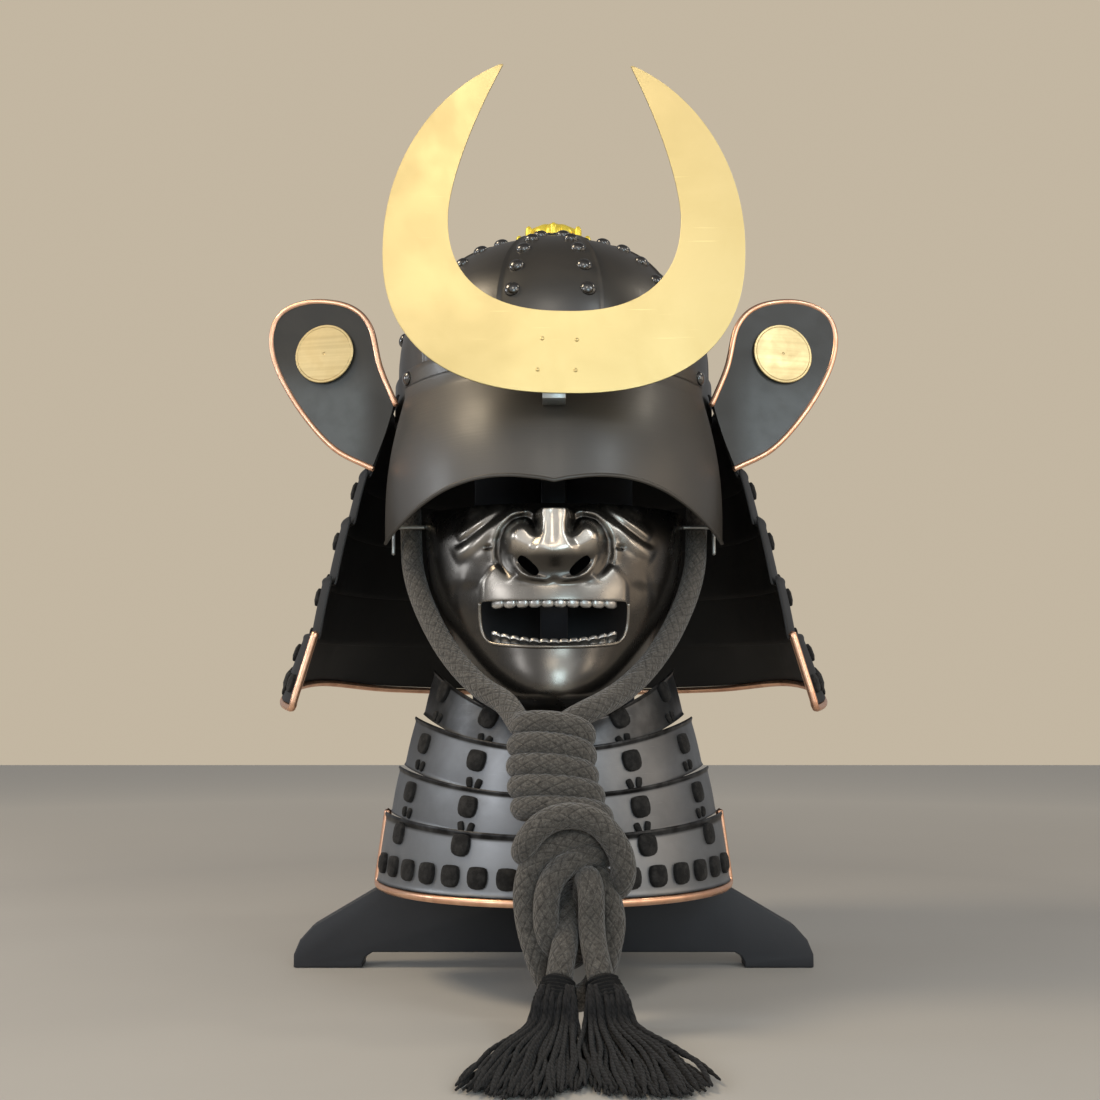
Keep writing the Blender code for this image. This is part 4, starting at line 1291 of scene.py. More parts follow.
@dataclass
class Brim:
    """Brim that droops from the waist band and ends in a horn at each side."""

    band: WaistBand
    gap: float = 0.0003
    wall: float = 0.0018
    half_width: float = 0.128
    half_depth: float = 0.168
    root_azimuth: float = 60
    tip_azimuth: float = 66
    bulge: float = 0.005
    root_z: float = 0.398
    flange_z: float = 0.406
    lip_radius: float = 0.0013
    lip_inset: Point = (0, 0.0009, 0.0005)
    edge: Table = (  # azimuth, height of the lower edge
        (0, 0.3203), (4, 0.3221), (13, 0.3245), (22, 0.3242), (32, 0.3202), (42, 0.3129),
        (54, 0.3027), (66, 0.2945))

    def point(self, share: float, row: float) -> Vector:
        """Point on the outer face.

        Args:
            share: place across, -1 to 1.
            row: 0 at the edge, 1 at the root and 2 at the flange.

        Returns:
            The point.
        """
        bowl = self.band.bowl
        proud = self.band.proud + self.gap + self.wall
        root_z = self.root_z if row <= 1 else self.flange_z
        root = round_the_head(bowl.half_width + proud, bowl.half_depth + proud,
                              share * self.root_azimuth, root_z)
        if row >= 1:
            return root
        azimuth = share * self.tip_azimuth
        edge = round_the_head(self.half_width, self.half_depth, azimuth,
                              read_table(self.edge, abs(azimuth))[0])
        outward = Vector((edge.x, edge.y, 0)).normalized()
        return edge.lerp(root, row) + outward * self.bulge * math.sin(math.pi * row)

    def build(self, paints: Palette) -> None:
        """Make the brim with a rolled lip along its lower edge.

        Args:
            paints: the materials.
        """
        rows = [0, 0.02] + evenly(0.06, 1, 22) + [1.5, 2]
        plate = shaped_grid("brim_plate", evenly(-1, 1, 150), rows, self.point)
        soften(wall(plate, self.wall), 0.0005, 2, 55)
        inset = Vector(self.lip_inset)
        line = [self.point(share, 0) + inset for share in evenly(-0.995, 0.995, 150)]
        smooth(join("brim_plate", [plate, swept("brim_lip", line, self.lip_radius, 8)]), 40)
        dress(plate, paints["brushed_lacquer"], Slot.LACQUER, "brim")


# ---- crest and top ornament

@dataclass
class Crest:
    """Crescent of pale brass, its tiny rivets and the holder that it stands in."""

    y: float = -0.1725
    thickness: float = 0.0016
    widest_z: float = 0.47
    half_width: float = 0.114
    bottom_z: float = 0.3745
    upper_height: float = 0.13
    tip_z: float = 0.5905
    squareness: float = 2.45
    hollow_z: float = 0.49
    hollow_half_width: float = 0.0735
    hollow_bottom_z: float = 0.427
    tip_half_width: float = 0.041
    shift_x: float = 0.0045
    roll_degrees: float = 1.0
    steps: int = 130
    dots: Table = metres((-12.5, 409), (9, 408.5), (-15, 389), (8.5, 389))  # x, z
    dot_profile: Table = metres((1.3, -0.4), (1.3, 0.1), (1, 0.4), (0, 0.6))  # radius, height

    def quarter(self, half_width: float, height: float, count: int) -> list[Pair]:
        """Quarter of a rounded oval, from its end below to its widest point.

        Args:
            half_width: half of the oval's width.
            height: half of its height.
            count: steps along it.

        Returns:
            Places across and depths below the widest point.
        """
        angles = evenly(QUARTER_TURN, 0, count)
        power = 2 / self.squareness
        return [(half_width * math.cos(a) ** power if a < QUARTER_TURN else 0.0,
                 height * math.sin(a) ** power if a > 0 else 0.0) for a in angles]

    def half_outline(self, count: int = 60) -> tuple[list[Vector], list[Vector]]:
        """Draw the crescent's right half, from the middle below to its tip.

        Args:
            count: steps in each stretch.

        Returns:
            The outer and the inner edge.
        """
        below = self.quarter(self.half_width, self.widest_z - self.bottom_z, count)
        outer = [Vector((x, self.widest_z - down, 0)) for x, down in below]
        for rise in evenly(0.0, self.tip_z - self.widest_z, count)[1:]:
            bulge = math.sqrt(1 - (rise / self.upper_height) ** 2)
            outer.append(Vector((self.half_width * bulge, self.widest_z + rise, 0)))
        hollow = self.quarter(self.hollow_half_width, self.hollow_z - self.hollow_bottom_z, count)
        inner = [Vector((x, self.hollow_z - down, 0)) for x, down in hollow]
        reach = self.tip_z - self.hollow_z
        for rise in evenly(0.0, reach, count)[1:]:
            narrowing = (self.hollow_half_width - self.tip_half_width) * (rise / reach) ** 1.5
            inner.append(Vector((self.hollow_half_width - narrowing, self.hollow_z + rise, 0)))
        return outer, inner

    def place(self) -> Matrix:
        """Find where the crescent stands, turned a little about its foot.

        Returns:
            What moves it there from where it is drawn.
        """
        about = Matrix.Translation((0, 0, self.bottom_z))
        turn = Matrix.Rotation(math.radians(self.roll_degrees), 4, "Y")
        return Matrix.Translation((self.shift_x, self.y, 0)) @ about @ turn @ about.inverted()

    def build(self, paints: Palette) -> None:
        """Make the crescent, its rivets and its holder.

        Args:
            paints: the materials.
        """
        count, seat, front = self.steps, self.place(), self.thickness / 2
        outer, inner = (even_line(line, distances(line)[-1] / count, 2)[:count + 1]
                        for line in self.half_outline())

        def place(column: float, row: float) -> Vector:
            """Corner of the front.

            Args:
                column: steps from the middle below, less than 0 on the left.
                row: 0 at the outer edge and 1 at the inner.

            Returns:
                The corner.
            """
            index = abs(int(column))
            flat = inner[index].lerp(outer[index], 1 - row)
            return seat @ Vector((flat.x if column >= 0 else -flat.x, -front, flat.y))

        rows = [0, 0.012] + evenly(0.05, 0.95, 10) + [0.988, 1]
        plate = shaped_grid("crest_plate", range(-count, count + 1), rows, place)
        wall(close_up(plate, outward=False), self.thickness)
        smooth(soften(plate, 0.0003, 2, 50), 35)
        dress(plate, paints["pale_brass"], Slot.BRASS, "crest_crescent")
        upright = Matrix.Rotation(QUARTER_TURN, 4, "X")
        dots = [seat @ Matrix.Translation((x, -front, z)) @ upright for x, z in self.dots]
        rivets = smooth(copies("crest_rivets", turned("dot", self.dot_profile, 12), dots), 50)
        dress(rivets, paints["pale_brass"], Slot.BRASS)
        holder = smooth(soften(cad_twin("crest_holder_plate", "crest_holder"), 0.0004, 2), 35)
        dress(holder, paints["grey_iron"], Slot.IRON, "crest_holder", drawn=False)


@dataclass
class TopOrnament:
    """Gilt flower on the crown: a knobbed foot plate, a drum of petals and a collar."""

    petals: int = 12
    knobs: int = 8
    rings: Table = metres(  # radius, z, depth between petals
        (11, 530, 0), (24, 528.5, 0), (26.2, 530, 0), (26.6, 532.2, 0), (26.2, 534.2, 0),
        (24, 535.2, 0), (22.2, 536, 0), (23, 536.8, 0.8), (23.5, 539, 1.4), (23.4, 541.2, 1.6),
        (22.6, 543.6, 1.6), (21.2, 545.6, 1.4), (19, 547.2, 1), (18, 547, 0), (17.4, 547.8, 0.8),
        (16, 549, 0.8), (13.5, 549.6, 0.6), (12, 549.2, 0))
    knob_radius: float = 0.0027
    knob_reach: float = 0.0264
    knob_rings: Table = (  # share of the knob's radius, z
        (1.0, 0.534), (1.0, 0.5412), (0.82, 0.5436), (0.45, 0.545), (0.0, 0.5454))

    def point(self, azimuth: float, row: float) -> Vector:
        """Point on the flower's face.

        Args:
            azimuth: place round it.
            row: number of the ring.

        Returns:
            The point.
        """
        radius, z, notch = self.rings[int(row)]
        wave = abs(math.cos(math.radians(azimuth) * self.petals / 2)) ** 0.6
        reach = radius - notch * (1 - wave)
        return round_the_head(reach, reach, azimuth, z - 0.4 * notch * (1 - wave))

    def build(self, paints: Palette) -> None:
        """Make the flower and its knobs.

        Args:
            paints: the materials.
        """
        ring = shaped_grid("top_ring", evenly(-180, 180, 240), range(len(self.rings)), self.point)
        close_up(ring, outward=False)
        with editing(ring, "DESELECT"):
            bpy.ops.mesh.select_non_manifold()
            bpy.ops.mesh.fill_holes(sides=0)
        close_up(ring)
        profile = [(share * self.knob_radius, z) for share, z in self.knob_rings]
        places = [Matrix.Translation(round_the_head(
            self.knob_reach, self.knob_reach, 360 * (index + 0.5) / self.knobs + 22.5, 0.0))
            for index in range(self.knobs)]
        knobs = copies("top_knobs", turned("knob", profile, 12), places)
        smooth(join("top_ring", [ring, knobs]), 40)
        dress(ring, paints["gilt"], Slot.GILT, "top_ornament")


# ---- wings

@dataclass
class Wing:
    """Turned-back wing with a copper rim and a plain brass disc."""

    side: Side
    hinge: Point = (0.1262, -0.0672, 0.348)
    turn_degrees: float = 12
    lean_degrees: float = 4.5
    wall: float = 0.002
    rim_radius: float = 0.0021
    dish: float = 0.001
    outline: Table = metres(  # outward, upward from the hinge's low end
        (0, 0), (30, 16.5), (57, 46), (77, 79), (83, 105), (75, 122), (53, 128.5), (25, 123),
        (8, 107), (-1.5, 75), (-14.5, 46))
    disc_centre: Pair = (0.0405, 0.087)
    disc_profile: Table = metres(  # radius, height
        (0, -0.8), (21.7, -0.8), (22, -0.4), (22, 0.5), (21.6, 0.8), (20.5, 0.8), (20.2, 0.6),
        (19.9, 0.8), (1, 1.1), (0.6, 0.7), (0, 0.6))
    disc_lift: float = 0.0011
    middle: Pair = (0.034, 0.078)
    # painted sheen: where the paler second colour lies, low down and towards the outer edge
    tone_below: Pair = (-0.09, -0.045)
    tone_beyond: Pair = (-0.004, 0.02)

    def place(self) -> Matrix:
        """Find the wing's plane.

        Returns:
            Its frame: X outward to +X, and Z its face towards the viewer.
        """
        turn, lean = math.radians(self.turn_degrees), math.radians(self.lean_degrees)
        across = Vector((math.cos(turn), self.side.value * math.sin(turn), 0))
        face = across.cross(Vector((0, math.sin(lean), math.cos(lean)))).normalized()
        return frame_at((self.side.value * self.hinge[0], *self.hinge[1:]), across,
                        face.cross(across), face)

    def build(self, paints: Palette) -> None:
        """Make the dished plate, the rim and the disc.

        Args:
            paints: the materials.
        """
        word, sign, place = self.side.word, self.side.value, self.place()
        edge = smooth_line([(x, y, 0) for x, y in self.outline], 14)

        def hinge_side(share: float, row: float) -> Vector:
            """Corner of the straight side, between the outline's two ends."""
            shrink = self.shrink * (1 - math.sin(math.pi * share))
            return place @ self.inside(edge[-1].lerp(edge[0], share), shrink, row)

        def outer_side(column: float, row: float) -> Vector:
            """Corner of the rest of the plate."""
            return place @ self.inside(edge[int(column)], self.shrink, row)

        plate = close_up(join(f"wing_plate_{word}", [
            shaped_grid(f"wing_plate_{word}", range(len(edge)), evenly(0, 1, 14), outer_side),
            shaped_grid("hinge_side", evenly(0, 1, 16), evenly(0, 1, 14), hinge_side)]))
        if plate.data.polygons[0].normal.dot(place.to_3x3() @ Vector((0, 0, 1))) < 0:
            plate.data.flip_normals()
        # painted sheen: the plate is paler low down and towards its outer edge
        back = place.inverted()
        spots = [back @ corner.co for corner in plate.data.vertices]
        low = ramp_up(np.array([-spot.y for spot in spots]), *self.tone_below)
        tone(plate, low * ramp_up(np.array([sign * spot.x for spot in spots]), *self.tone_beyond))
        smooth(wall(plate, self.wall * 0.8), 35)
        dress(plate, paints["blue_black_satin"], Slot.WING, f"wing_{word}")
        rim_line = [place @ Vector((sign * point.x, point.y, 0)) for point in edge]
        rim = swept(f"wing_edge_{word}", even_line(rim_line, 0.0022, 4), self.rim_radius, 12)
        dress(smooth(rim, 60), paints["copper"], Slot.COPPER, f"wing_rim_{word}")
        disc = turned(f"wing_disc_{word}_plain", self.disc_profile, 72)
        lift = self.wall / 2 + self.disc_lift
        seat = Matrix.Translation((sign * self.disc_centre[0], self.disc_centre[1], lift))
        disc.data.transform(place @ seat)
        dress(smooth(disc, 30), paints["brushed_brass"], Slot.BRASS, f"wing_disc_{word}")

    @property
    def shrink(self) -> float:
        """How far the plate's edge lies inside the rim's middle."""
        return self.rim_radius * 0.6

    def inside(self, rim: Vector, shrink: float, row: float) -> Vector:
        """Point of the dished plate, in the wing's plane.

        Args:
            rim: point of the outline.
            shrink: how far the plate ends inside it.
            row: share of the way there from the middle.

        Returns:
            The point.
        """
        middle = Vector((*self.middle, 0))
        flat = middle.lerp(rim + (middle - rim).normalized() * shrink, row)
        z = self.wall / 2 - self.dish * (1 - row * row)
        return Vector((self.side.value * flat.x, flat.y, z))


# ---- lames

def pad_master(width: float, height: float, thickness: float) -> Object:
    """Make a rounded square pad that sits on Z = 0, with a slack dip in its top edge.

    Args:
        width: its size across.
        height: its size up.
        thickness: how far it stands out.

    Returns:
        The pad.
    """
    deselect()
    bpy.ops.mesh.primitive_cube_add(size=1)
    pad = named("pad")
    pad.data.transform(Matrix.Diagonal((width, height, thickness, 1)))
    with editing(pad):
        bpy.ops.mesh.subdivide(number_cuts=3)
    for corner in pad.data.vertices:
        spot = corner.co
        u, v, w = spot.x / width * 2, spot.y / height * 2, spot.z / thickness * 2
        crown = 1 - 0.55 * max(u * u, v * v) ** 2 * max(0.0, w)
        pull = (1 - 0.22 * (abs(u) * abs(v)) ** 2) * (1 - 0.1 * max(0.0, w))
        spot.x *= pull
        spot.y *= pull
        if v > 0:
            spot.y -= 0.06 * height * v * (1 - u * u)
        spot.z = thickness * (0.5 * w * crown + 0.32)
    return pad


@dataclass
class Lame:
    """One lacquered lame: an open band round the head with rolled edges."""

    name: str
    point: Place
    columns: Sequence[float]
    wall: float
    roll: float
    roll_width: float
    shade: float

    def face(self, azimuth: float, row: float) -> Vector:
        """Outer face with a slight belly and rolls along both edges.

        Args:
            azimuth: place round the head.
            row: 0 at the lower edge and 1 at the upper.

        Returns:
            The point.
        """
        point = self.point(azimuth, min(1.0, max(0.0, row)))
        out = Vector((point.x, point.y, 0)).normalized()
        belly = 0.0005 * math.sin(math.pi * row)
        upper = math.exp(-((0.97 - row) / self.roll_width) ** 2)
        rolled = self.roll * (upper + 0.6 * math.exp(-(row / 0.035) ** 2))
        return point + out * (belly + rolled)

    def build(self, paint: Material, slot: Slot, node: str) -> None:
        """Make the lame.

        Args:
            paint: its material.
            slot: the record's slot that the material belongs to.
            node: the CAD node that it stands for.
        """
        rows = [0, 0.015, 0.035, 0.06, 0.1] + evenly(0.18, 0.82, 6)
        rows += [0.86, 0.885, 0.905, 0.925, 0.945, 0.96, 0.975, 0.99, 1]
        tones = []

        def place(azimuth: float, row: float) -> Vector:
            """Corner of the face, whose tone is noted."""
            # second tone: the lame's painted shade all over, rising to full in bands along its top and bottom edges
            tones.append(min(1.0, max(self.shade, (row - 0.875) / 0.02, (0.03 - row) / 0.02)))
            return self.face(azimuth, row)

        plate = tone(shaped_grid(self.name, self.columns, rows, place), tones)
        smooth(soften(wall(plate, self.wall), 0.0004, 2, 60), 35)
        dress(plate, paint, slot, node)


@dataclass
class LacedGuard:
    """Lames with lacing pads, and a copper bar round the lowest one."""

    word: str
    paint: str
    slot: Slot
    levels: Table
    shades: tuple[float, ...]
    roll: Pair
    pad_rows: tuple[float, ...]
    hem_row: float
    tied: int
    tie_row: float
    tie_apart: float
    tie_lean: float
    pad: Point
    tie: Point
    rim_radius: float
    rim_spacing: float
    wall: float = 0.0016
    gap: float = 0.0003

    def bar_point(self, azimuth: float, row: float, drop: float = 0.0) -> Vector:
        """Point for the copper bar to pass through.

        Args:
            azimuth: where on the lowest lame, round the head.
            row: where on it, up.
            drop: how far below.

        Returns:
            A point in the middle of the lame's wall, or below it.
        """
        point = self.point(len(self.levels) - 1, azimuth, row)
        inward = Vector((point.x, point.y, 0)).normalized() * self.wall / 2
        return point - inward - Vector((0, 0, drop))

    def bar_end(self, azimuth: float, onward: float, below: float) -> list[Vector]:
        """Points of the bar down a lame's end and round its corner, to run on below."""
        down = [self.bar_point(azimuth, row) for row in (1.0, 0.75, 0.5, 0.25, 0.06)]
        return down + [self.bar_point(azimuth + onward, 0.0, below * 0.7)]

    def build(self, paints: Palette) -> None:
        """Make the lames, their lacing and the copper bar.

        Args:
            paints: the materials.
        """
        pads, ties = [], []
        for number, (row, shade) in enumerate(zip(self.pad_rows, self.shades)):
            lame = Lame(f"{self.word}_plate_{number + 1}", partial(self.point, number),
                        self.columns(), self.wall, *self.roll, shade)
            lame.build(paints[self.paint], self.slot, f"{self.word}_lame_{number + 1}")
            for azimuth in self.lacing():
                pads.append(on_surface(lame.face, azimuth, row, LACING_STEP))
                for lean in (-1, 1) if number < self.tied else ():
                    ties.append(on_surface(lame.face, azimuth + lean * self.tie_apart, self.tie_row,
                                           LACING_STEP, math.radians(-self.tie_lean * lean)))
        pads += [on_surface(lame.face, azimuth, self.hem_row, LACING_STEP)
                 for azimuth in self.hem()]
        for name, size, places in (("pads", self.pad, pads), ("ties", self.tie, ties)):
            lacing = smooth(copies(f"{self.word}_{name}", pad_master(*size), places), 60)
            dress(lacing, paints["napped_pads"], self.slot)
        line = even_line(self.rim_line(), self.rim_spacing, 6)
        rim = smooth(swept(f"{self.word}_edge", line, self.rim_radius, 12), 60)
        dress(rim, paints["copper"], Slot.COPPER, f"{self.word}_guard_rim")


@dataclass
class NeckGuard(LacedGuard):
    """Five lames round the sides and back, each outside the one above."""

    word: str = "neck"
    paint: str = "matt_black_lacquer"
    slot: Slot = Slot.NECK
    levels: Table = metres(  # half width, half depth, middle y, front z, back z: top, then bottom
        ((120.1, 138.1, 0, 404, 404), (141, 151, 2, 344, 354)),
        ((142.5, 153, 2, 350, 360), (152.5, 161, 4, 309.5, 318)),
        ((155, 164, 4, 315, 324), (165.5, 171, 6, 267, 279)),
        ((168, 174, 6, 273, 285), (176.5, 179, 8, 229, 240)),
        ((180.5, 182.5, 8, 233, 246), (196, 187, 10, 185, 201)))
    shades: tuple[float, ...] = (0.0,) * 5
    roll: Pair = (0.0007, 0.035)
    pad_rows: tuple[float, ...] = (0.65, 0.72, 0.72, 0.72, 0.72)
    hem_row: float = 0.28
    tied: int = 5
    tie_row: float = 0.13
    tie_apart: float = 1.3
    tie_lean: float = 22
    pad: Point = (0.0125, 0.014, 0.0036)
    tie: Point = (0.0042, 0.0085, 0.0022)
    rim_radius: float = 0.0026
    rim_spacing: float = 0.003
    front: float = 65
    pad_count: int = 8
    hem_start: float = 3
    hem_spacing: float = 6.2
    droop: Table = (  # azimuth, lift of the bottom lame's lower edge
        (65, 0.0), (80, 0.0035), (96, 0.012), (112, 0.015), (135, 0.0085), (180, 0.0))

    def point(self, number: int, azimuth: float, row: float) -> Vector:
        """Point on the outer face of a lame.

        Args:
            number: number of the lame, from the top.
            azimuth: place round the head, 0 to 360.
            row: 0 at its lower edge and 1 at its upper.

        Returns:
            The point.
        """
        azimuth = azimuth if azimuth <= 180 else azimuth - 360
        away = abs(azimuth)
        to_back = (away - self.front) / (180 - self.front)
        top, bottom = self.levels[number]
        half_width, half_depth, middle_y, front_z, back_z = (
            a + (b - a) * row for a, b in zip(bottom, top))
        z = front_z + (back_z - front_z) * to_back
        if number == len(self.levels) - 1:
            z += read_table(self.droop, away)[0] * (1 - row)
        return round_the_head(half_width + self.wall, half_depth + self.wall, azimuth, z, middle_y)

    def columns(self) -> list[float]:
        """Azimuths of the lames' corners."""
        return evenly(self.front, 360 - self.front, 170)

    def lacing(self) -> list[float]:
        """Azimuths of the lacing pads on each lame."""
        step = (360 - 2 * self.front) / self.pad_count
        return [self.front + step * (index + 0.5) for index in range(self.pad_count)]

    def hem(self) -> list[float]:
        """Azimuths of the pads along the lowest lame's edge."""
        count = int((360 - 2 * self.front) / self.hem_spacing)
        return [self.front + self.hem_start + self.hem_spacing * index for index in range(count)]

    def rim_line(self) -> list[Vector]:
        """Lead the bar round the bottom lame's front ends and lower edge.

        Returns:
            Its points.
        """
        below = self.rim_radius + 2 * self.gap
        end = self.front - math.degrees(below / self.levels[-1][1][0])
        half = self.bar_end(end, 0.25, below)
        run = evenly(self.front + 1.5, 180, 30)
        half += [self.bar_point(azimuth, 0.0, below) for azimuth in run]
        return half + mirrored(half[:-1])


@dataclass
class ThroatGuard(LacedGuard):
    """Four lames across the throat, each in front of the one above."""

    word: str = "throat"
    paint: str = "grey_blue_satin"
    slot: Slot = Slot.THROAT
    levels: Table = metres(  # half width, half depth, z at the middle, rise: top, then bottom
        ((86.5, 113, 173, 39), (94.5, 120.5, 151, 29)),
        ((99.5, 125.5, 157, 21), (107.5, 131, 124.5, 20)),
        ((110.5, 134, 128.5, 15), (116.5, 138.5, 100, 12)),
        ((119.5, 141.5, 104, 8), (125.5, 147, 67, -2)))
    # painted shade: share of the near-black second colour over each throat lame, most on the top one
    shades: tuple[float, ...] = (0.72, 0.3, 0.24, 0.0)
    roll: Pair = (0.0014, 0.05)
    pad_rows: tuple[float, ...] = (0.74, 0.6, 0.6, 0.78)
    hem_row: float = 0.3
    tied: int = 3
    tie_row: float = 0.16
    tie_apart: float = 1.8
    tie_lean: float = 18
    pad: Point = (0.0136, 0.0146, 0.0046)
    tie: Point = (0.0044, 0.0074, 0.0026)
    rim_radius: float = 0.0027
    rim_spacing: float = 0.0025
    end: float = 75
    middle_y: float = -0.005
    pad_azimuths: tuple[float, ...] = (-57, -28.5, 0, 28.5, 57)
    hem_spacing: float = 8.9
    hem_count: int = 16

    def point(self, number: int, azimuth: float, row: float) -> Vector:
        """Point on the outer face of a lame.

        Args:
            number: number of the lame, from the top.
            azimuth: place round the head.
            row: 0 at its lower edge and 1 at its upper.

        Returns:
            The point.
        """
        top, bottom = self.levels[number]
        half_width, half_depth, z, rise = (a + (b - a) * row for a, b in zip(bottom, top))
        z += rise * math.sin(math.radians(azimuth)) ** 2
        return round_the_head(half_width, half_depth, azimuth, z, self.middle_y)

    def columns(self) -> list[float]:
        """Azimuths of the lames' corners."""
        return evenly(-self.end, self.end, 120)

    def lacing(self) -> tuple[float, ...]:
        """Azimuths of the lacing pads on each lame."""
        return self.pad_azimuths

    def hem(self) -> list[float]:
        """Azimuths of the pads along the lowest lame's edge."""
        reach = self.hem_spacing * (self.hem_count - 1) / 2
        return evenly(-reach, reach, self.hem_count - 1)

    def rim_line(self) -> list[Vector]:
        """Lead the bar round the bottom lame's ends and lower edge.

        Returns:
            Its points.
        """
        below = self.rim_radius + self.gap
        end = self.end + math.degrees(below / self.levels[-1][1][0])
        left = self.bar_end(-end, 0.5, below)
        reach = self.end - 3
        run = [self.bar_point(azimuth, 0.0, below) for azimuth in evenly(-reach, reach, 30)]
        return left + run + mirrored(left)


# ---- face mask

def hill(x: np.ndarray, z: np.ndarray, spot: Pair, size: Pair,
         power: float = 2.0) -> np.ndarray:
    """Rounded hill: 1 at its middle and almost 0 beyond its size."""
    away = np.abs((x - spot[0]) / size[0]) ** power + np.abs((z - spot[1]) / size[1]) ** power
    return np.exp(-away)


def ridge(x: np.ndarray, z: np.ndarray, line: Sequence[Pair],
          width: float) -> np.ndarray:
    """Rounded ridge along a line of points, fading towards both of its ends.

    Args:
        x: places across.
        z: heights.
        line: the points.
        width: how far the ridge reaches from them.

    Returns:
        Its height at each place, 0 to 1.
    """
    nearest = np.full(x.shape, 1e9)
    fade = np.zeros(x.shape)
    lengths = [math.dist(a, b) for a, b in zip(line, line[1:])]
    total, passed = sum(lengths), 0.0
    for (ax, az), (bx, bz), length in zip(line, line[1:], lengths):
        share = np.clip(((x - ax) * (bx - ax) + (z - az) * (bz - az)) / length ** 2, 0, 1)
        away = np.hypot(x - ax - share * (bx - ax), z - az - share * (bz - az))
        along = (passed + share * length) / total
        closer = away < nearest
        fade = np.where(closer, np.sqrt(np.clip(4 * along * (1 - along), 0, 1)), fade)
        nearest = np.where(closer, away, nearest)
        passed += length
    return np.exp(-(nearest / width) ** 2) * fade


def ramp_up(value: np.ndarray, low: float, high: float) -> np.ndarray:
    """Eased step from 0 to 1."""
    share = np.clip((value - low) / (high - low), 0, 1)
    return share * share * (3 - 2 * share)


def blend_max(first: np.ndarray, second: np.ndarray, width: float) -> np.ndarray:
    """The larger of two heights, rounded where they meet."""
    share = np.clip(0.5 + 0.5 * (first - second) / width, 0, 1)
    return second + (first - second) * share + width * share * (1 - share)


CHEEK_FOLDS = (  # in millimetres: rise, then width and line of a fold or size and place of a swell
    (2.6, 3.0, (13, 309.5), (20, 309.8), (27, 306.8), (33, 300.5), (37.5, 292), (39.5, 283),
     (38.5, 274)),
    (-3.0, 2.6, (9, 290), (11.5, 300), (18, 305), (26.5, 303.5), (32.5, 297.5), (36.2, 289),
     (36.2, 280), (33, 272), (27, 264)),
    (4.6, 5.6, (22, 312), (33, 305), (42, 297.5), (49, 291.5), (56, 286.5), (66, 281)),
    (4.4, 4.6, (33, 315), (41, 309), (48, 303.5), (55, 299), (64, 293)),
    (2.8, 3.6, (44, 313), (52, 310.5), (59, 306)),
    (-1.6, 2.4, (28, 312), (38, 305.5), (47, 299), (56, 293), (66, 287)),
    (1.0, (11.5, 10.5), (47.5, 278.5)),
    (-2.4, (2.2, 1.1), (43, 285.2)),
    (-0.6, 4.5, (50, 268), (54, 256), (54, 244), (51, 230)),
    (0.35, 3.0, (57, 274), (61, 258), (61, 244)),
    (-0.35, 2.6, (63, 270), (66, 254), (65, 240)),
    (2.6, 1.5, (2, 261.5), (10, 262.3), (15.5, 263.6), (20.5, 267), (24.5, 272), (28, 279)))


@dataclass(frozen=True)
class ToothRow:
    """One row of teeth: its count, its free edge and root, its notches and its ends' lift."""

    node: str
    count: int
    edge_z: float
    root_z: float
    notch: float
    lift: float
    gum: float


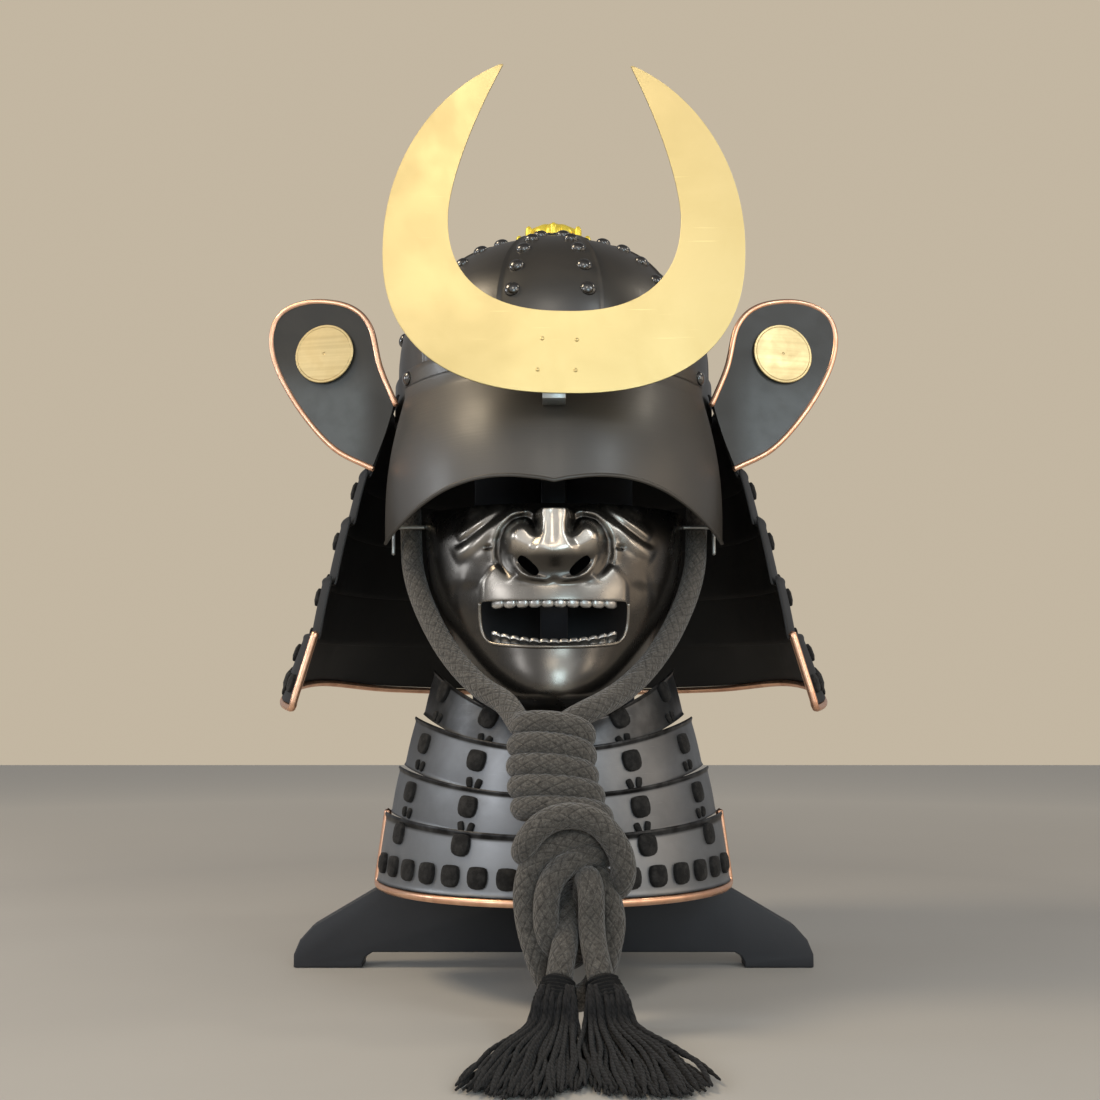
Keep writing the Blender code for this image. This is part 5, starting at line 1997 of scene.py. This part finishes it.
@dataclass
class FaceMask:
    """Grimacing armour mask with teeth and cord hooks. Its relief is drawn in millimetres."""

    wall: float = 0.0018
    gap: float = 0.0003
    sections: Table = metres(  # z, half width, front y, rear y
        (179, 16, -119, -105), (183, 29, -130, -93), (187.5, 37.5, -139, -84),
        (192, 43, -141.8, -77), (202, 53, -142.2, -64), (215, 63, -140, -55),
        (229, 71.5, -138.5, -49), (244, 79, -138, -45), (255, 83, -137, -43), (265, 86, -135, -42),
        (275, 88, -132, -41), (285, 89.5, -129, -40.5), (295, 90.5, -126, -40),
        (305, 91.5, -122, -40), (315, 92.5, -117, -40))
    mouth: Table = metres(  # x, z of the opening's right half
        (0, 249.4), (20, 249.4), (40, 249.4), (45.8, 249.2), (46.7, 248), (46.7, 240), (45.6, 232),
        (42.5, 226.2), (37, 223.2), (20, 221.3), (0, 220.6))
    lip_width: float = 0.0012
    lip_top: float = 0.2486
    lip_tone: float = 0.35
    nostril_x: float = 0.0165
    nostril_z: float = 0.2712
    nostril_lean: float = 43
    nostril_size: Pair = (0.0084, 0.0031)
    teeth_half_width: float = 0.0405
    softening: Table = (  # steps, in millimetres, that round the relief
        (0, 0), (1.1, 0), (-1.1, 0), (0, 1.1), (0, -1.1), (0.8, 0.8), (-0.8, 0.8), (0.8, -0.8),
        (-0.8, -0.8))
    teeth: tuple[ToothRow, ...] = (
        ToothRow("upper_teeth", 10, 0.2446, 0.252, 0.0017, 0.0, 0.15),
        ToothRow("lower_teeth", 13, 0.225, 0.218, -0.0013, 0.0062, 0.66))
    hook_root: float = 0.09
    hook_y: float = -0.0615
    hook_z: float = 0.3075
    hook_reach: float = 0.0215
    hook_drop: float = 0.019
    hook_radius: float = 0.0014

    def base(self, share: float, z: float) -> Vector:
        """Plain face of the mask before its relief.

        Args:
            share: place across, -1 to 1 from ear to ear.
            z: height.

        Returns:
            The point.
        """
        half_width, front_y, rear_y = read_table(self.sections, z)
        angle = QUARTER_TURN * share
        depth = (rear_y - front_y) * max(0.0, math.cos(angle)) ** 0.85
        return Vector((half_width * math.sin(angle), rear_y - depth, z))

    def nose(self, x: np.ndarray, z: np.ndarray) -> np.ndarray:
        """Rise of the nose: a grooved bridge that runs into two broad lobes.

        Args:
            x: places across.
            z: heights.

        Returns:
            The rise at each place.
        """
        side = np.abs(x)
        front = np.interp(z, (280, 285, 295, 305, 315), (130.5, 129, 126, 122, 117))
        upright = 129.0 - front
        crown = 278.5 + 0.0125 * side ** 2
        under = 1 - 0.76 * ramp_up(crown - z, -3.0, 14.0)
        notch = 298.0 - 6.5 * np.exp(-((side - 12.5) / 4.2) ** 2)
        corner = np.hypot(np.maximum(0, side - 19), np.maximum(0, z - notch + 9))
        lobes = (16.5 + upright - 0.17 * np.maximum(0, z - 281)) * (1 - ramp_up(corner, 6.5, 18.0))
        lobes *= under
        half_width = 10.6 + 7.5 * ramp_up(-z, -292, -275)
        bridge = 19.0 + upright - 0.14 * np.maximum(0, z - 281)
        bridge *= (under * (1 - ramp_up(side - half_width, -3.4, 3.0))
                   * (1 - ramp_up(z, 308.2, 310.2)))
        whole = blend_max(lobes, bridge, 5.0) * ramp_up(z, 258.0, 264.0)
        return whole - 1.5 * ridge(x, z, ((-1.5, 309), (-1.5, 298), (-1.5, 282)), 3.0)

    def lip_plate(self, x: np.ndarray, z: np.ndarray) -> np.ndarray:
        """Find the flat raised plate between the nose and the mouth.

        Args:
            x: places across.
            z: heights.

        Returns:
            Share of its rise at each place, 0 to 1.
        """
        side = np.abs(x)
        top = np.interp(side, (0, 18, 22, 27, 33, 37.5, 41, 45, 49),
                        (262, 262, 262, 265.5, 271, 275, 272, 266.5, 261.0))
        edge = (1 - ramp_up(side, 45.0, 49.5)) * (1 - ramp_up(z - top, -3.6, 0.8))
        return edge * ramp_up(z, 244, 250)

    def folds(self, x: np.ndarray, z: np.ndarray) -> np.ndarray:
        """Rise of the cheeks' folds and of the crease round the nose.

        Args:
            x: places across.
            z: heights.

        Returns:
            The rise at each place.
        """
        side, rise = np.abs(x), np.zeros(x.shape)
        for height, size, *line in CHEEK_FOLDS:
            if isinstance(size, tuple):
                rise += height * hill(side, z, line[0], size, 3.0)
            else:
                rise += height * ridge(side, z, line, size)
        return rise

    def relief(self, x: np.ndarray, z: np.ndarray) -> np.ndarray:
        """How far the features stand out in front of the plain face.

        Args:
            x: places across.
            z: heights.

        Returns:
            The rise at each place.
        """
        total = np.zeros(x.shape)
        reach = 2.0 - ramp_up(z, 298, 306)
        for across, up in self.softening:
            nose = self.nose(x + across * reach, z + up * reach)
            near_x, near_z = x + across, z + up
            total += blend_max(nose, 2.6 * self.lip_plate(near_x, near_z), 1.0)
            total += self.folds(near_x, near_z)
        return total / len(self.softening)

    def burnish(self, x: np.ndarray, z: np.ndarray) -> np.ndarray:
        """Find what is lightened: the lip plate, nose lobes and raised folds, rubbed bright and partly a painted
        highlight, and a painted highlight down the chin.

        Args:
            x: places across.
            z: heights.

        Returns:
            Share of the bright colour at each place, 0 to 1.
        """
        # lip plate, nose lobes and raised folds: rubbed wear, partly a painted highlight
        lobes = np.clip(self.nose(x, z) / 11.0 - 0.4, 0, 1) * ramp_up(z, 276, 283)
        raised = 0.5 * np.clip((self.folds(x, z) - 0.8) / 3.0, 0, 1) * ramp_up(z, 262, 268)
        # painted highlight: a bright streak down the middle of the chin
        chin = 0.42 * hill(x, z, (3, 205), (9, 24), 3.0)
        return np.clip(0.3 * self.lip_plate(x, z) + lobes + raised + chin, 0, 1)

    def plain(self, x: float, z: float) -> Vector:
        """Point on the plain face at a place across and a height."""
        share = x / read_table(self.sections, z)[0]
        return self.base(math.asin(max(-1.0, min(1.0, share))) / QUARTER_TURN, z)

    def face(self, x: float, z: float, proud: float = 0.0) -> Vector:
        """Point on the finished face, or in front of it."""
        rise = self.relief(np.array([x * MILLIMETRES]), np.array([z * MILLIMETRES]))[0]
        return self.plain(x, z) - Vector((0, float(rise) / MILLIMETRES + proud, 0))

    def mouth_line(self, outset: float, spacing: float) -> list[Vector]:
        """Draw the mouth's outline, from its top round to its top.

        Args:
            outset: how far outward it is pushed.
            spacing: distance between its points.

        Returns:
            Its points.
        """
        half = smooth_line([(x, 0, z) for x, z in self.mouth], 8)
        whole = half + mirrored(half[1:-1])
        pushed = []
        for index, point in enumerate(whole):
            ahead = whole[(index + 1) % len(whole)] - whole[index - 1]
            pushed.append(point + Vector((-ahead.z, 0, ahead.x)).normalized() * outset)
        return even_line(pushed + [pushed[0]], spacing, 2)

    def mouth_cutter(self) -> Object:
        """Prism of the open mouth: straight above, rounded into its corners below."""
        line = self.mouth_line(0.0, 0.0016)[:-1]
        return self.prism([(point.x, -0.17, point.z) for point in line], 0.085)

    def nostril_cutter(self, side: Side) -> Object:
        """Make the solid that cuts the slanting slot under one side of the nose.

        Args:
            side: which side.

        Returns:
            The solid.
        """
        lean, outline = math.radians(self.nostril_lean), []
        for angle in evenly(0, FULL_TURN, 36)[:-1]:
            along, across = (size * math.copysign(abs(wave) ** 0.7, wave) for size, wave in
                             zip(self.nostril_size, (math.cos(angle), math.sin(angle))))
            out = self.nostril_x + along * math.cos(lean) - across * math.sin(lean)
            outline.append((side.value * out, -0.18,
                            self.nostril_z + along * math.sin(lean) + across * math.cos(lean)))
        return self.prism(outline, 0.06)

    def prism(self, outline: Sequence[Point], depth: float) -> Object:
        """Make a solid by pushing a flat outline back.

        Args:
            outline: its corners.
            depth: how far it is pushed.

        Returns:
            The solid.
        """
        deselect()
        bpy.ops.mesh.primitive_circle_add(vertices=len(outline), fill_type="NGON")
        cutter = named("cutter")
        for corner, spot in zip(cutter.data.vertices, outline):
            corner.co = spot
        with editing(cutter):
            bpy.ops.mesh.extrude_region_move(TRANSFORM_OT_translate={"value": (0, depth, 0)})
        return close_up(cutter)

    def build(self, paints: Palette) -> None:
        """Make the mask's shell, lip, teeth and hooks.

        Args:
            paints: the materials.
        """
        shares = [u * (0.55 + 0.45 * abs(u)) for u in evenly(-1, 1, 220)]
        rows = evenly(self.sections[0][0], 0.202, 18)[:-1] + evenly(0.202, 0.22, 14)[:-1]
        rows += evenly(0.22, 0.315, 138)
        shell = shaped_grid("mask_plate", shares, rows, self.base)
        spots = corners(shell)
        across, up = spots[:, 0] * MILLIMETRES, spots[:, 2] * MILLIMETRES
        spots[:, 1] -= self.relief(across, up) / MILLIMETRES
        shell.data.vertices.foreach_set("co", spots.ravel())
        shell.data.update()
        wall(shell, self.wall)
        for cutter in [self.mouth_cutter(), *(self.nostril_cutter(side) for side in Side)]:
            modify(shell, "BOOLEAN", object=cutter, operation="DIFFERENCE", solver="EXACT")
            bpy.data.objects.remove(cutter)
        spots = corners(smooth(shell, 50))
        # second tone: wear on the raised features, partly painted highlight, and a painted highlight on the chin
        tone(shell, self.burnish(spots[:, 0] * MILLIMETRES, spots[:, 2] * MILLIMETRES))
        dress(shell, paints["burnished_gunmetal"], Slot.STEEL, "mask_shell")
        self.build_lip(paints)
        for row in self.teeth:
            self.build_teeth(paints, row)
        for side in Side:
            self.build_hook(side, paints)

    def build_lip(self, paints: Palette) -> None:
        """Make the bead round the mouth's sides and lower edge.

        Args:
            paints: the materials.
        """
        line = [self.face(point.x, point.z, self.gap)
                for point in self.mouth_line(self.lip_width, 0.0012) if point.z < self.lip_top]
        bead = swept("lower_lip_bead", line, self.lip_width, 10)
        tone(bead, [self.lip_tone] * len(bead.data.vertices))
        dress(smooth(bead, 60), paints["burnished_gunmetal"], Slot.STEEL)

    def build_teeth(self, paints: Palette, row: ToothRow) -> None:
        """Make a strip of rounded teeth behind the lip, on a sunk gum.

        Args:
            paints: the materials.
            row: the sizes of the teeth.
        """
        inset = self.wall + self.gap + 0.0004

        def place(x: float, share: float) -> Vector:
            """Point on the teeth.

            Args:
                x: place across.
                share: share of the way from the root to the free edge.

            Returns:
                The point.
            """
            tooth = (x / self.teeth_half_width + 1) / 2 * row.count
            off = abs(2 * (tooth - math.floor(tooth)) - 1)
            lift = row.lift * (x / self.teeth_half_width) ** 2
            z = row.root_z + (row.edge_z + row.notch * off ** 3 - row.root_z) * share + lift
            round_off = math.sqrt(max(0.0, 1 - max(0.0, (share - 0.55) / 0.45) ** 2))
            swell = 0.0022 * math.sqrt(1 - 0.97 * off ** 2.5) * round_off
            sunk = 0.003 * (1 - min(1.0, max(0.0, share / row.gum) ** 4))
            return self.plain(x, min(max(z, 0.18), 0.31)) + Vector((0, inset + sunk - swell, 0))

        columns = evenly(-self.teeth_half_width, self.teeth_half_width, 14 * row.count)
        shares = evenly(0, 0.5, 4) + evenly(0.6, 0.9, 4) + [0.95, 0.98, 1.0]
        if row.edge_z < row.root_z:
            columns = columns[::-1]
        strip = smooth(wall(shaped_grid(f"{row.node}_row", columns, shares, place), self.wall), 50)
        dress(strip, paints["pewter"], Slot.STEEL, row.node)

    def build_hook(self, side: Side, paints: Palette) -> None:
        """Make the bar that stands out from the cheek and turns down outside the cord.

        Args:
            side: which cheek.
            paints: the materials.
        """
        start, y, z = self.hook_root + self.gap, self.hook_y, self.hook_z
        end = start + self.hook_reach
        route = ((start, 0), (start + 0.006, 0), (end - 0.004, 0), (end - 0.001, 0.001),
                 (end, 0.004), (end, 0.012), (end, self.hook_drop))
        line = even_line([(side.value * x, y, z - drop) for x, drop in route], 0.0012, 8)
        bar = smooth(swept(f"cord_hook_{side.word}", line, self.hook_radius, 10), 60)
        dress(bar, paints["grey_iron"], Slot.IRON, f"cheek_hook_{side.word}")


# ---- cord and tassels

CORD_NODES = {Side.LEFT: ("cord_leg_left", "cord_wrap", "cord_tail_left"),
              Side.RIGHT: ("cord_leg_right", "cord_loop_outer", "cord_loop_inner",
                           "cord_tail_right")}
FERRULE = metres(  # radius, height
    (0, 0), (7.2, 0), (8.6, 0.6), (8.9, 1.6), (8.6, 2.4), (8, 3), (6.2, 5.8), (4.8, 8), (4, 8.7),
    (0, 8.9))
GOLDEN_SHARE = 0.618034


@dataclass
class ChinCord:
    """Two ends of a braided cord, wound into a knot below the chin.

    The left end winds round the knot and the right end is its core and its hanging loops.
    """

    radius: float = 0.0075
    spacing: float = 0.0011
    easing: int = 24
    leg: Table = metres(
        (106, -40, 382.4), (104.2, -43, 353), (102, -48, 324), (100.4, -53, 299), (98.5, -59, 280),
        (92.5, -69, 260), (83, -83, 240), (72, -98, 222), (59, -113, 206), (44.5, -129, 193),
        (30, -144, 184))
    knot: Table = metres(  # z, middle x, middle y, half width, half depth
        (87, 10.5, -179, 30, 18), (97, 10, -177, 33.5, 23), (116, 5, -173, 31, 22),
        (140, -1, -169, 28.5, 21.5), (164, -1.5, -165, 27.5, 20.5), (178, -1, -162, 25, 18))
    turns: float = 4.75
    turn_top_z: float = 0.1705
    turn_pitch: float = 0.012
    turn_tilt: float = 0.0045
    bight: Table = metres(
        (-15, -178, 99), (-17.8, -190, 98.5), (-15, -197.5, 106.5), (-8, -200, 114.5),
        (1, -200.5, 119), (10, -200.5, 120), (18.5, -200.5, 119), (26.5, -199.5, 114.5),
        (33, -198, 107), (38, -196, 98), (39.5, -193, 88), (37, -185, 79), (29, -172, 74),
        (18, -164, 74.5))
    left_tail: Table = metres(
        (10, -169, 72), (7.2, -178, 66.5), (7, -187, 59.5), (6.2, -197, 50.5), (4, -205, 41.5),
        (2.5, -210, 33))
    core: Table = metres(
        (16, -156, 177), (4, -163, 169), (-1, -166, 155), (0, -168, 138), (6, -170, 123),
        (18, -173, 113), (27, -181, 109))
    outer_loop: Table = metres(
        (23, -189, 109), (15, -191.5, 108), (7, -192, 106), (-1, -192, 103), (-8, -191.5, 98),
        (-13, -190.5, 91), (-16, -189.5, 81), (-16.5, -188.5, 71), (-15, -188, 59),
        (-11.5, -188, 46), (-6, -187.5, 31), (1, -187, 20.5), (11, -187, 16), (21, -187, 21),
        (27.5, -187, 33), (31.5, -187.5, 47), (33.5, -188, 60), (30.5, -188.5, 74), (27, -186, 83),
        (22.5, -181, 87), (14, -177, 88))
    crossing: Table = metres(
        (6, -172, 92), (8, -165, 98.5), (18, -166, 100), (28, -171.5, 97.5), (30, -180.3, 96))
    inner_loop: Table = metres(
        (23.5, -188, 98.5), (15.5, -191, 96.5), (8.5, -193.5, 93.5), (2, -195, 88.5),
        (-2.5, -195.8, 82), (-4.5, -196, 74), (-5, -195.5, 65), (-4, -193, 54), (0.5, -187, 43),
        (7.5, -182, 38), (14, -179, 42), (17.5, -177.5, 52), (18, -178, 64), (18, -180, 74),
        (18, -187, 81.5))
    right_tail: Table = metres(
        (18.7, -194.5, 85), (20, -200, 83), (20.8, -200.5, 75), (20.8, -198.5, 65),
        (21.2, -199, 54), (23, -204, 43), (25.5, -210, 33))

    def wraps(self) -> list[Vector]:
        """Wind the turns round the knot, from its left side above.

        Returns:
            The points that they follow.
        """
        count = round(self.turns * 16)
        line = []
        for index in range(count + 1):
            turn = index / 16
            azimuth = -90 + 360 * turn
            level = self.turn_top_z - self.turn_pitch * turn
            middle_x, middle_y, half_width, half_depth = read_table(self.knot, level)
            z = level + self.turn_tilt * math.cos(math.radians(azimuth))
            line.append(round_the_head(half_width - self.radius, half_depth - self.radius, azimuth,
                                       z, middle_y) + Vector((middle_x, 0, 0)))
        return line

    def routes(self) -> dict[Side, list[Vector]]:
        """Find both ends' centrelines, from the helmet's rim to the tassels.

        Returns:
            The line of each side.
        """
        left_leg = [(-x, y, z) for x, y, z in self.leg]
        left = [*left_leg, *self.wraps(), *self.bight, *self.left_tail]
        right = [*self.leg, *self.core, *self.outer_loop, *self.crossing, *self.inner_loop,
                 *self.right_tail]
        return {Side.LEFT: self.eased(left), Side.RIGHT: self.eased(right)}

    def eased(self, points: Sequence) -> list[Vector]:
        """Draw an even line through points, with its sharpest bends opened out.

        Args:
            points: the points.

        Returns:
            The line.
        """
        line = even_line(points, self.spacing, 16)
        for _ in range(self.easing):
            inner = [(a + b * 2 + c) / 4 for a, b, c in zip(line, line[1:], line[2:])]
            line = [line[0], *inner, line[-1]]
        return even_line(line, self.spacing, 2)

    def thickness(self, reach: float, turn: float) -> float:
        """Radius of the braid at a reach and a turn: crossing strands stand out from its body."""
        strands = [abs(math.sin(turn * 3 + way * reach * 190 * math.pi)) for way in (1, -1)]
        return self.radius * (0.985 + 0.02 * max(strands))

    def build(self, paints: Palette) -> dict[Side, Object]:
        """Make both cords and the ferrules that hold them under the rim.

        Args:
            paints: the materials.

        Returns:
            The cord of each side.
        """
        made = {}
        for side, line in self.routes().items():
            cord = smooth(swept(f"chin_cord_{side.word}", line, self.thickness, 30), 60)
            made[side] = dress(cord, paints["braided_cord"], Slot.CORD, *CORD_NODES[side])
            ferrule = turned(f"cord_ferrule_{side.word}", FERRULE, 28)
            away = (line[0] - line[6]).normalized()
            seat = away.to_track_quat("Z", "Y").to_matrix().to_4x4()
            seat.translation = line[0] + away * 0.0003
            ferrule.data.transform(seat)
            dress(smooth(ferrule, 40), paints["grey_iron"], Slot.IRON, f"cord_anchor_{side.word}")
        return made

    def declare(self, cords: dict[Side, Object], tassels: dict[Side, Object]) -> None:
        """Say what each cord measures and which tassel it ends in.

        Args:
            cords: the cord of each side.
            tassels: the tassel of each side.
        """
        for side, line in self.routes().items():
            path = [point + helmet_middle() for point in line]
            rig.cord(cords[side], exit=path[0], length=round(distances(path)[-1], 3),
                    diameter=2 * self.radius, far_end="fitting", stiffness="limp", lay="hanging",
                    path=path, with_pieces=[tassels[side]])


@dataclass
class Tassel:
    """Bound head with a skirt of twisted yarns that lies fanned out over the table."""

    side: Side
    end: Vector
    down: Vector
    yarn_count: int = 84
    yarn_radius: float = 0.0013
    reach: float = 0.116
    spread: float = 0.029
    seed: int = 7

    def yarn_route(self, across: float, layer: float, shuffle: random.Random) -> list[Vector]:
        """Line of one yarn, from the head down to the table and out over it.

        Args:
            across: place across the fan, -1 to 1.
            layer: place in the pile, 0 on the table to 1 on top.
            shuffle: the tassel's random draws.

        Returns:
            The points that it follows.
        """
        end, lean = self.end, self.side.value * 0.012
        root = self.end + self.down * 0.008
        low = self.yarn_radius + 0.0004
        across += shuffle.uniform(-0.1, 0.1)
        reach = self.reach * (1 - 0.14 * across * across) * shuffle.uniform(0.9, 1.0)
        ring = math.pi * (0.5 + 0.5 * across)
        start = root + Vector((-math.cos(ring) * 0.0085, -0.002 - 0.005 * layer,
                               (layer - 0.5) * 0.01))
        knee = Vector((end.x + lean * 0.4 + across * 0.014, end.y - 0.02 - 0.004 * layer,
                       low + 0.0105 * layer + 0.002))
        middle = Vector((end.x + lean + across * 0.023 + shuffle.uniform(-0.002, 0.002),
                         end.y - 0.055, low + 0.0085 * layer))
        late = Vector((end.x + lean * 1.3 + across * 0.027 + shuffle.uniform(-0.003, 0.003),
                       end.y - 0.75 * reach, low + 0.0055 * layer))
        tip = Vector((end.x + lean * 1.6 + across * self.spread + shuffle.uniform(-0.003, 0.003),
                      end.y - reach, low + 0.002 * layer))
        return [start, start.lerp(knee, 0.45) + Vector((0, -0.002, 0.002)), knee, middle, late, tip]

    def build(self, paints: Palette) -> Object:
        """Make the head and its yarns as one piece.

        Args:
            paints: the materials.

        Returns:
            The tassel.
        """
        shuffle = random.Random(self.seed + self.side.value)
        pieces = []
        for index in range(self.yarn_count):
            across = 2 * ((index * GOLDEN_SHARE) % 1.0) - 1
            layer = (index + 0.5) / self.yarn_count
            line = even_line(self.yarn_route(across, layer, shuffle), 0.0021, 10)
            size = partial(self.yarn_size, shuffle.uniform(0, FULL_TURN), distances(line)[-1])
            pieces.append(swept(f"yarn_{index}", line, size, 7, 2))
        profile = [(0.0, 0.0), (0.007, 0.0)]
        for ring in range(6):
            height = 0.001 + ring * 0.0022
            swell = 0.0085 + 0.0006 * ring
            profile += [(swell + 0.0011, height + 0.001), (swell, height + 0.002)]
        head = turned("tassel_head", profile + [(0.0105, 0.015), (0.0, 0.0152)], 32)
        seat = self.down.to_track_quat("Z", "Y").to_matrix().to_4x4()
        seat.translation = self.end + self.down * 0.0003
        head.data.transform(seat)
        tassel = smooth(join(f"tassel_{self.side.word}_yarns", [head, *pieces]), 60)
        return dress(tassel, paints["twisted_yarn"], Slot.TASSEL, f"tassel_{self.side.word}")

    def yarn_size(self, phase: float, total: float, reach: float, turn: float) -> float:
        """Radius of a yarn at a reach and a turn, which tapers over its last stretch."""
        taper = 1.0 if reach < total - 0.012 else 0.45 + 0.55 * (total - reach) / 0.012
        return self.yarn_radius * taper * (1 + 0.14 * math.cos(2 * turn + phase - reach * 800))


# ---- stand and studio

@dataclass
class Stand:
    """Two black boards slotted into each other."""

    bevel: float = 0.0012

    def build(self, paints: Palette) -> None:
        """Make both boards with eased edges.

        Args:
            paints: the materials.
        """
        for name in ("stand_cross_board", "stand_fore_board"):
            board = cad_twin(f"{name}_eased", name)
            smooth(soften(board, self.bevel, 3, 35), 30)
            dress(board, paints["board_lacquer"], Slot.BOARD, name, drawn=False)


@dataclass(frozen=True)
class SoftLight:
    """Large square light, placed by its direction from the helmet."""

    name: str
    azimuth: float
    elevation: float
    size: float
    power: float
    colour: Colour
    distance: float = 1.6
    aim_z: float = 0.33

    def add(self) -> None:
        """Hang the light and point it at the helmet."""
        aim = Vector((0, -0.08, self.aim_z))
        level = math.cos(math.radians(self.elevation)) * self.distance
        away = round_the_head(level, level, self.azimuth,
                              math.sin(math.radians(self.elevation)) * self.distance)
        light = bpy.data.objects.new(self.name, bpy.data.lights.new(self.name, "AREA"))
        light.data.shape = "SQUARE"
        light.data.size = self.size
        light.data.energy = self.power
        light.data.color = self.colour
        light.location = aim + away
        light.rotation_mode = "QUATERNION"
        light.rotation_quaternion = (-away).to_track_quat("-Z", "Y")
        bpy.context.scene.collection.objects.link(light)


@dataclass
class Studio:
    """Pale floor, plain warm wall colour, soft lights and the camera."""

    camera_place: Point = (-0.0026, -0.926, 0.174)
    pitch_degrees: float = 7.745
    lens: float = 40.9
    sensor: float = 36.0
    floor_size: float = 8.0
    wall_colour: Colour = (0.545, 0.47, 0.36)
    room_colour: Colour = (0.84, 0.845, 0.86)
    side_share: float = 0.36
    above_share: float = 0.34
    lights: tuple[SoftLight, ...] = (
        SoftLight("warm_lamp", -76, 45, 0.45, 11.0, (1.0, 0.82, 0.58)),
        SoftLight("right_spot", 92, 46, 0.18, 2.0, (1.0, 0.9, 0.74)),
        SoftLight("front_lamp", -5, 30, 0.4, 2.3, (1.0, 0.9, 0.76)),
        SoftLight("left_window", -90, 14, 0.36, 3.6, (0.92, 0.96, 1.0)),
        SoftLight("left_pane", -50, 10, 0.36, 3.0, (0.95, 0.97, 1.0)),
        SoftLight("left_card", -36, 26, 0.26, 0.15, (0.9, 0.97, 1.0)),
        SoftLight("low_window", 9, 2, 0.4, 2.2, (0.66, 0.9, 1.0), 1.3),
        SoftLight("right_pane", 40, 27, 0.4, 3.0, (0.9, 0.97, 1.0)),
        SoftLight("right_card", 54, 9, 0.34, 2.0, (1.0, 0.86, 0.68)),
        SoftLight("right_lamp", 82, 10, 0.8, 2.6, (1.0, 0.8, 0.58)))

    def build(self) -> None:
        """Set up the view, the camera, the floor and the lights."""
        bpy.context.scene.view_settings.view_transform = "Standard"
        self.add_camera()
        self.add_floor()
        self.add_room()
        for light in self.lights:
            light.add()

    def add_camera(self) -> None:
        """Place the camera."""
        camera = bpy.data.objects.new("camera", bpy.data.cameras.new("camera"))
        camera.data.lens = self.lens
        camera.data.sensor_width = self.sensor
        camera.location = Vector(self.camera_place) + helmet_middle()
        camera.rotation_euler = (math.radians(90 + self.pitch_degrees), 0, 0)
        bpy.context.scene.collection.objects.link(camera)
        bpy.context.scene.camera = camera

    def add_floor(self) -> None:
        """Lay the pale floor, painted paler away from the helmet to make up for the light that falls off there."""
        deselect()
        bpy.ops.mesh.primitive_grid_add(x_subdivisions=8, y_subdivisions=8, size=self.floor_size)
        floor = named("floor")
        floor.data.transform(Matrix.Translation((0, 0, -0.0002)))
        tree = Surface("pale_floor")
        cloud = tree.noise(tree.place, 3.0, 5.0, 0.6)
        near = tree.mix(cloud, (0.47, 0.45, 0.42), (0.52, 0.5, 0.47))
        # painted light: the floor's colour grows paler with distance from the helmet
        away = tree.add("ShaderNodeVectorMath", {0: tree.place},
                        operation="LENGTH").outputs["Value"]
        floor.data.materials.append(tree.finish({
            "Base Color": tree.mix(tree.ramp(away, 0.7, 1.9), near, (0.86, 0.8, 0.7)),
            "Roughness": tree.ramp(cloud, 0.0, 1.0, 0.7, 0.85)}))
        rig.stage(floor)

    def add_room(self) -> None:
        """Light the scene from all round: brightest in front, dim above, beside and behind."""
        world = bpy.data.worlds.new("studio")
        world.use_nodes = True
        tree = Tree(world.node_tree)
        way = tree.add("ShaderNodeSeparateXYZ", {
            "Vector": tree.add("ShaderNodeTexCoord").outputs["Generated"]}).outputs
        front = tree.ramp(way["Y"], -0.8, -0.15, 1.0, self.side_share)
        above = tree.ramp(way["Z"], 0.4, 0.92, 1.0, self.above_share)
        room = world.node_tree.nodes["Background"]
        room.inputs["Color"].default_value = (*self.room_colour, 1.0)
        tree.feed(room.inputs["Strength"], tree.times(front, above))
        wall_back = tree.add("ShaderNodeBackground", {"Color": (*self.wall_colour, 1.0)})
        seen = tree.add("ShaderNodeLightPath").outputs["Is Camera Ray"]
        choice = tree.add("ShaderNodeMixShader", {0: seen, 1: room.outputs[0],
                                                  2: wall_back.outputs[0]})
        end = world.node_tree.nodes["World Output"]
        tree.feed(end.inputs["Surface"], choice.outputs[0])
        bpy.context.scene.world = world


def main() -> None:
    """Build the studio and every sub-assembly, and write the sizes down."""
    logging.basicConfig(level=logging.INFO, format="%(name)s: %(message)s")
    Studio().build()
    paints = Palette()
    chin_cord = ChinCord()
    cords = chin_cord.build(paints)
    tassels = {}
    for side, line in chin_cord.routes().items():
        down = (line[-1] - line[-8]).normalized()
        tassels[side] = Tassel(side, line[-1], down).build(paints)
    chin_cord.declare(cords, tassels)
    bowl = Bowl()
    bowl.build(paints)
    band = WaistBand(bowl)
    band.build(paints)
    Brim(band).build(paints)
    Crest().build(paints)
    TopOrnament().build(paints)
    for side in Side:
        Wing(side).build(paints)
    NeckGuard().build(paints)
    ThroatGuard().build(paints)
    FaceMask().build(paints)
    Stand().build(paints)
    bpy.context.view_layer.update()
    sizes = {"cad": [list(corner) for corner in CAD_BOX],
             "visual": [list(corner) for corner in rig.bounds()]}
    with open("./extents.json", "w") as out:
        json.dump(sizes, out)


if __name__ == "__main__":
    main()
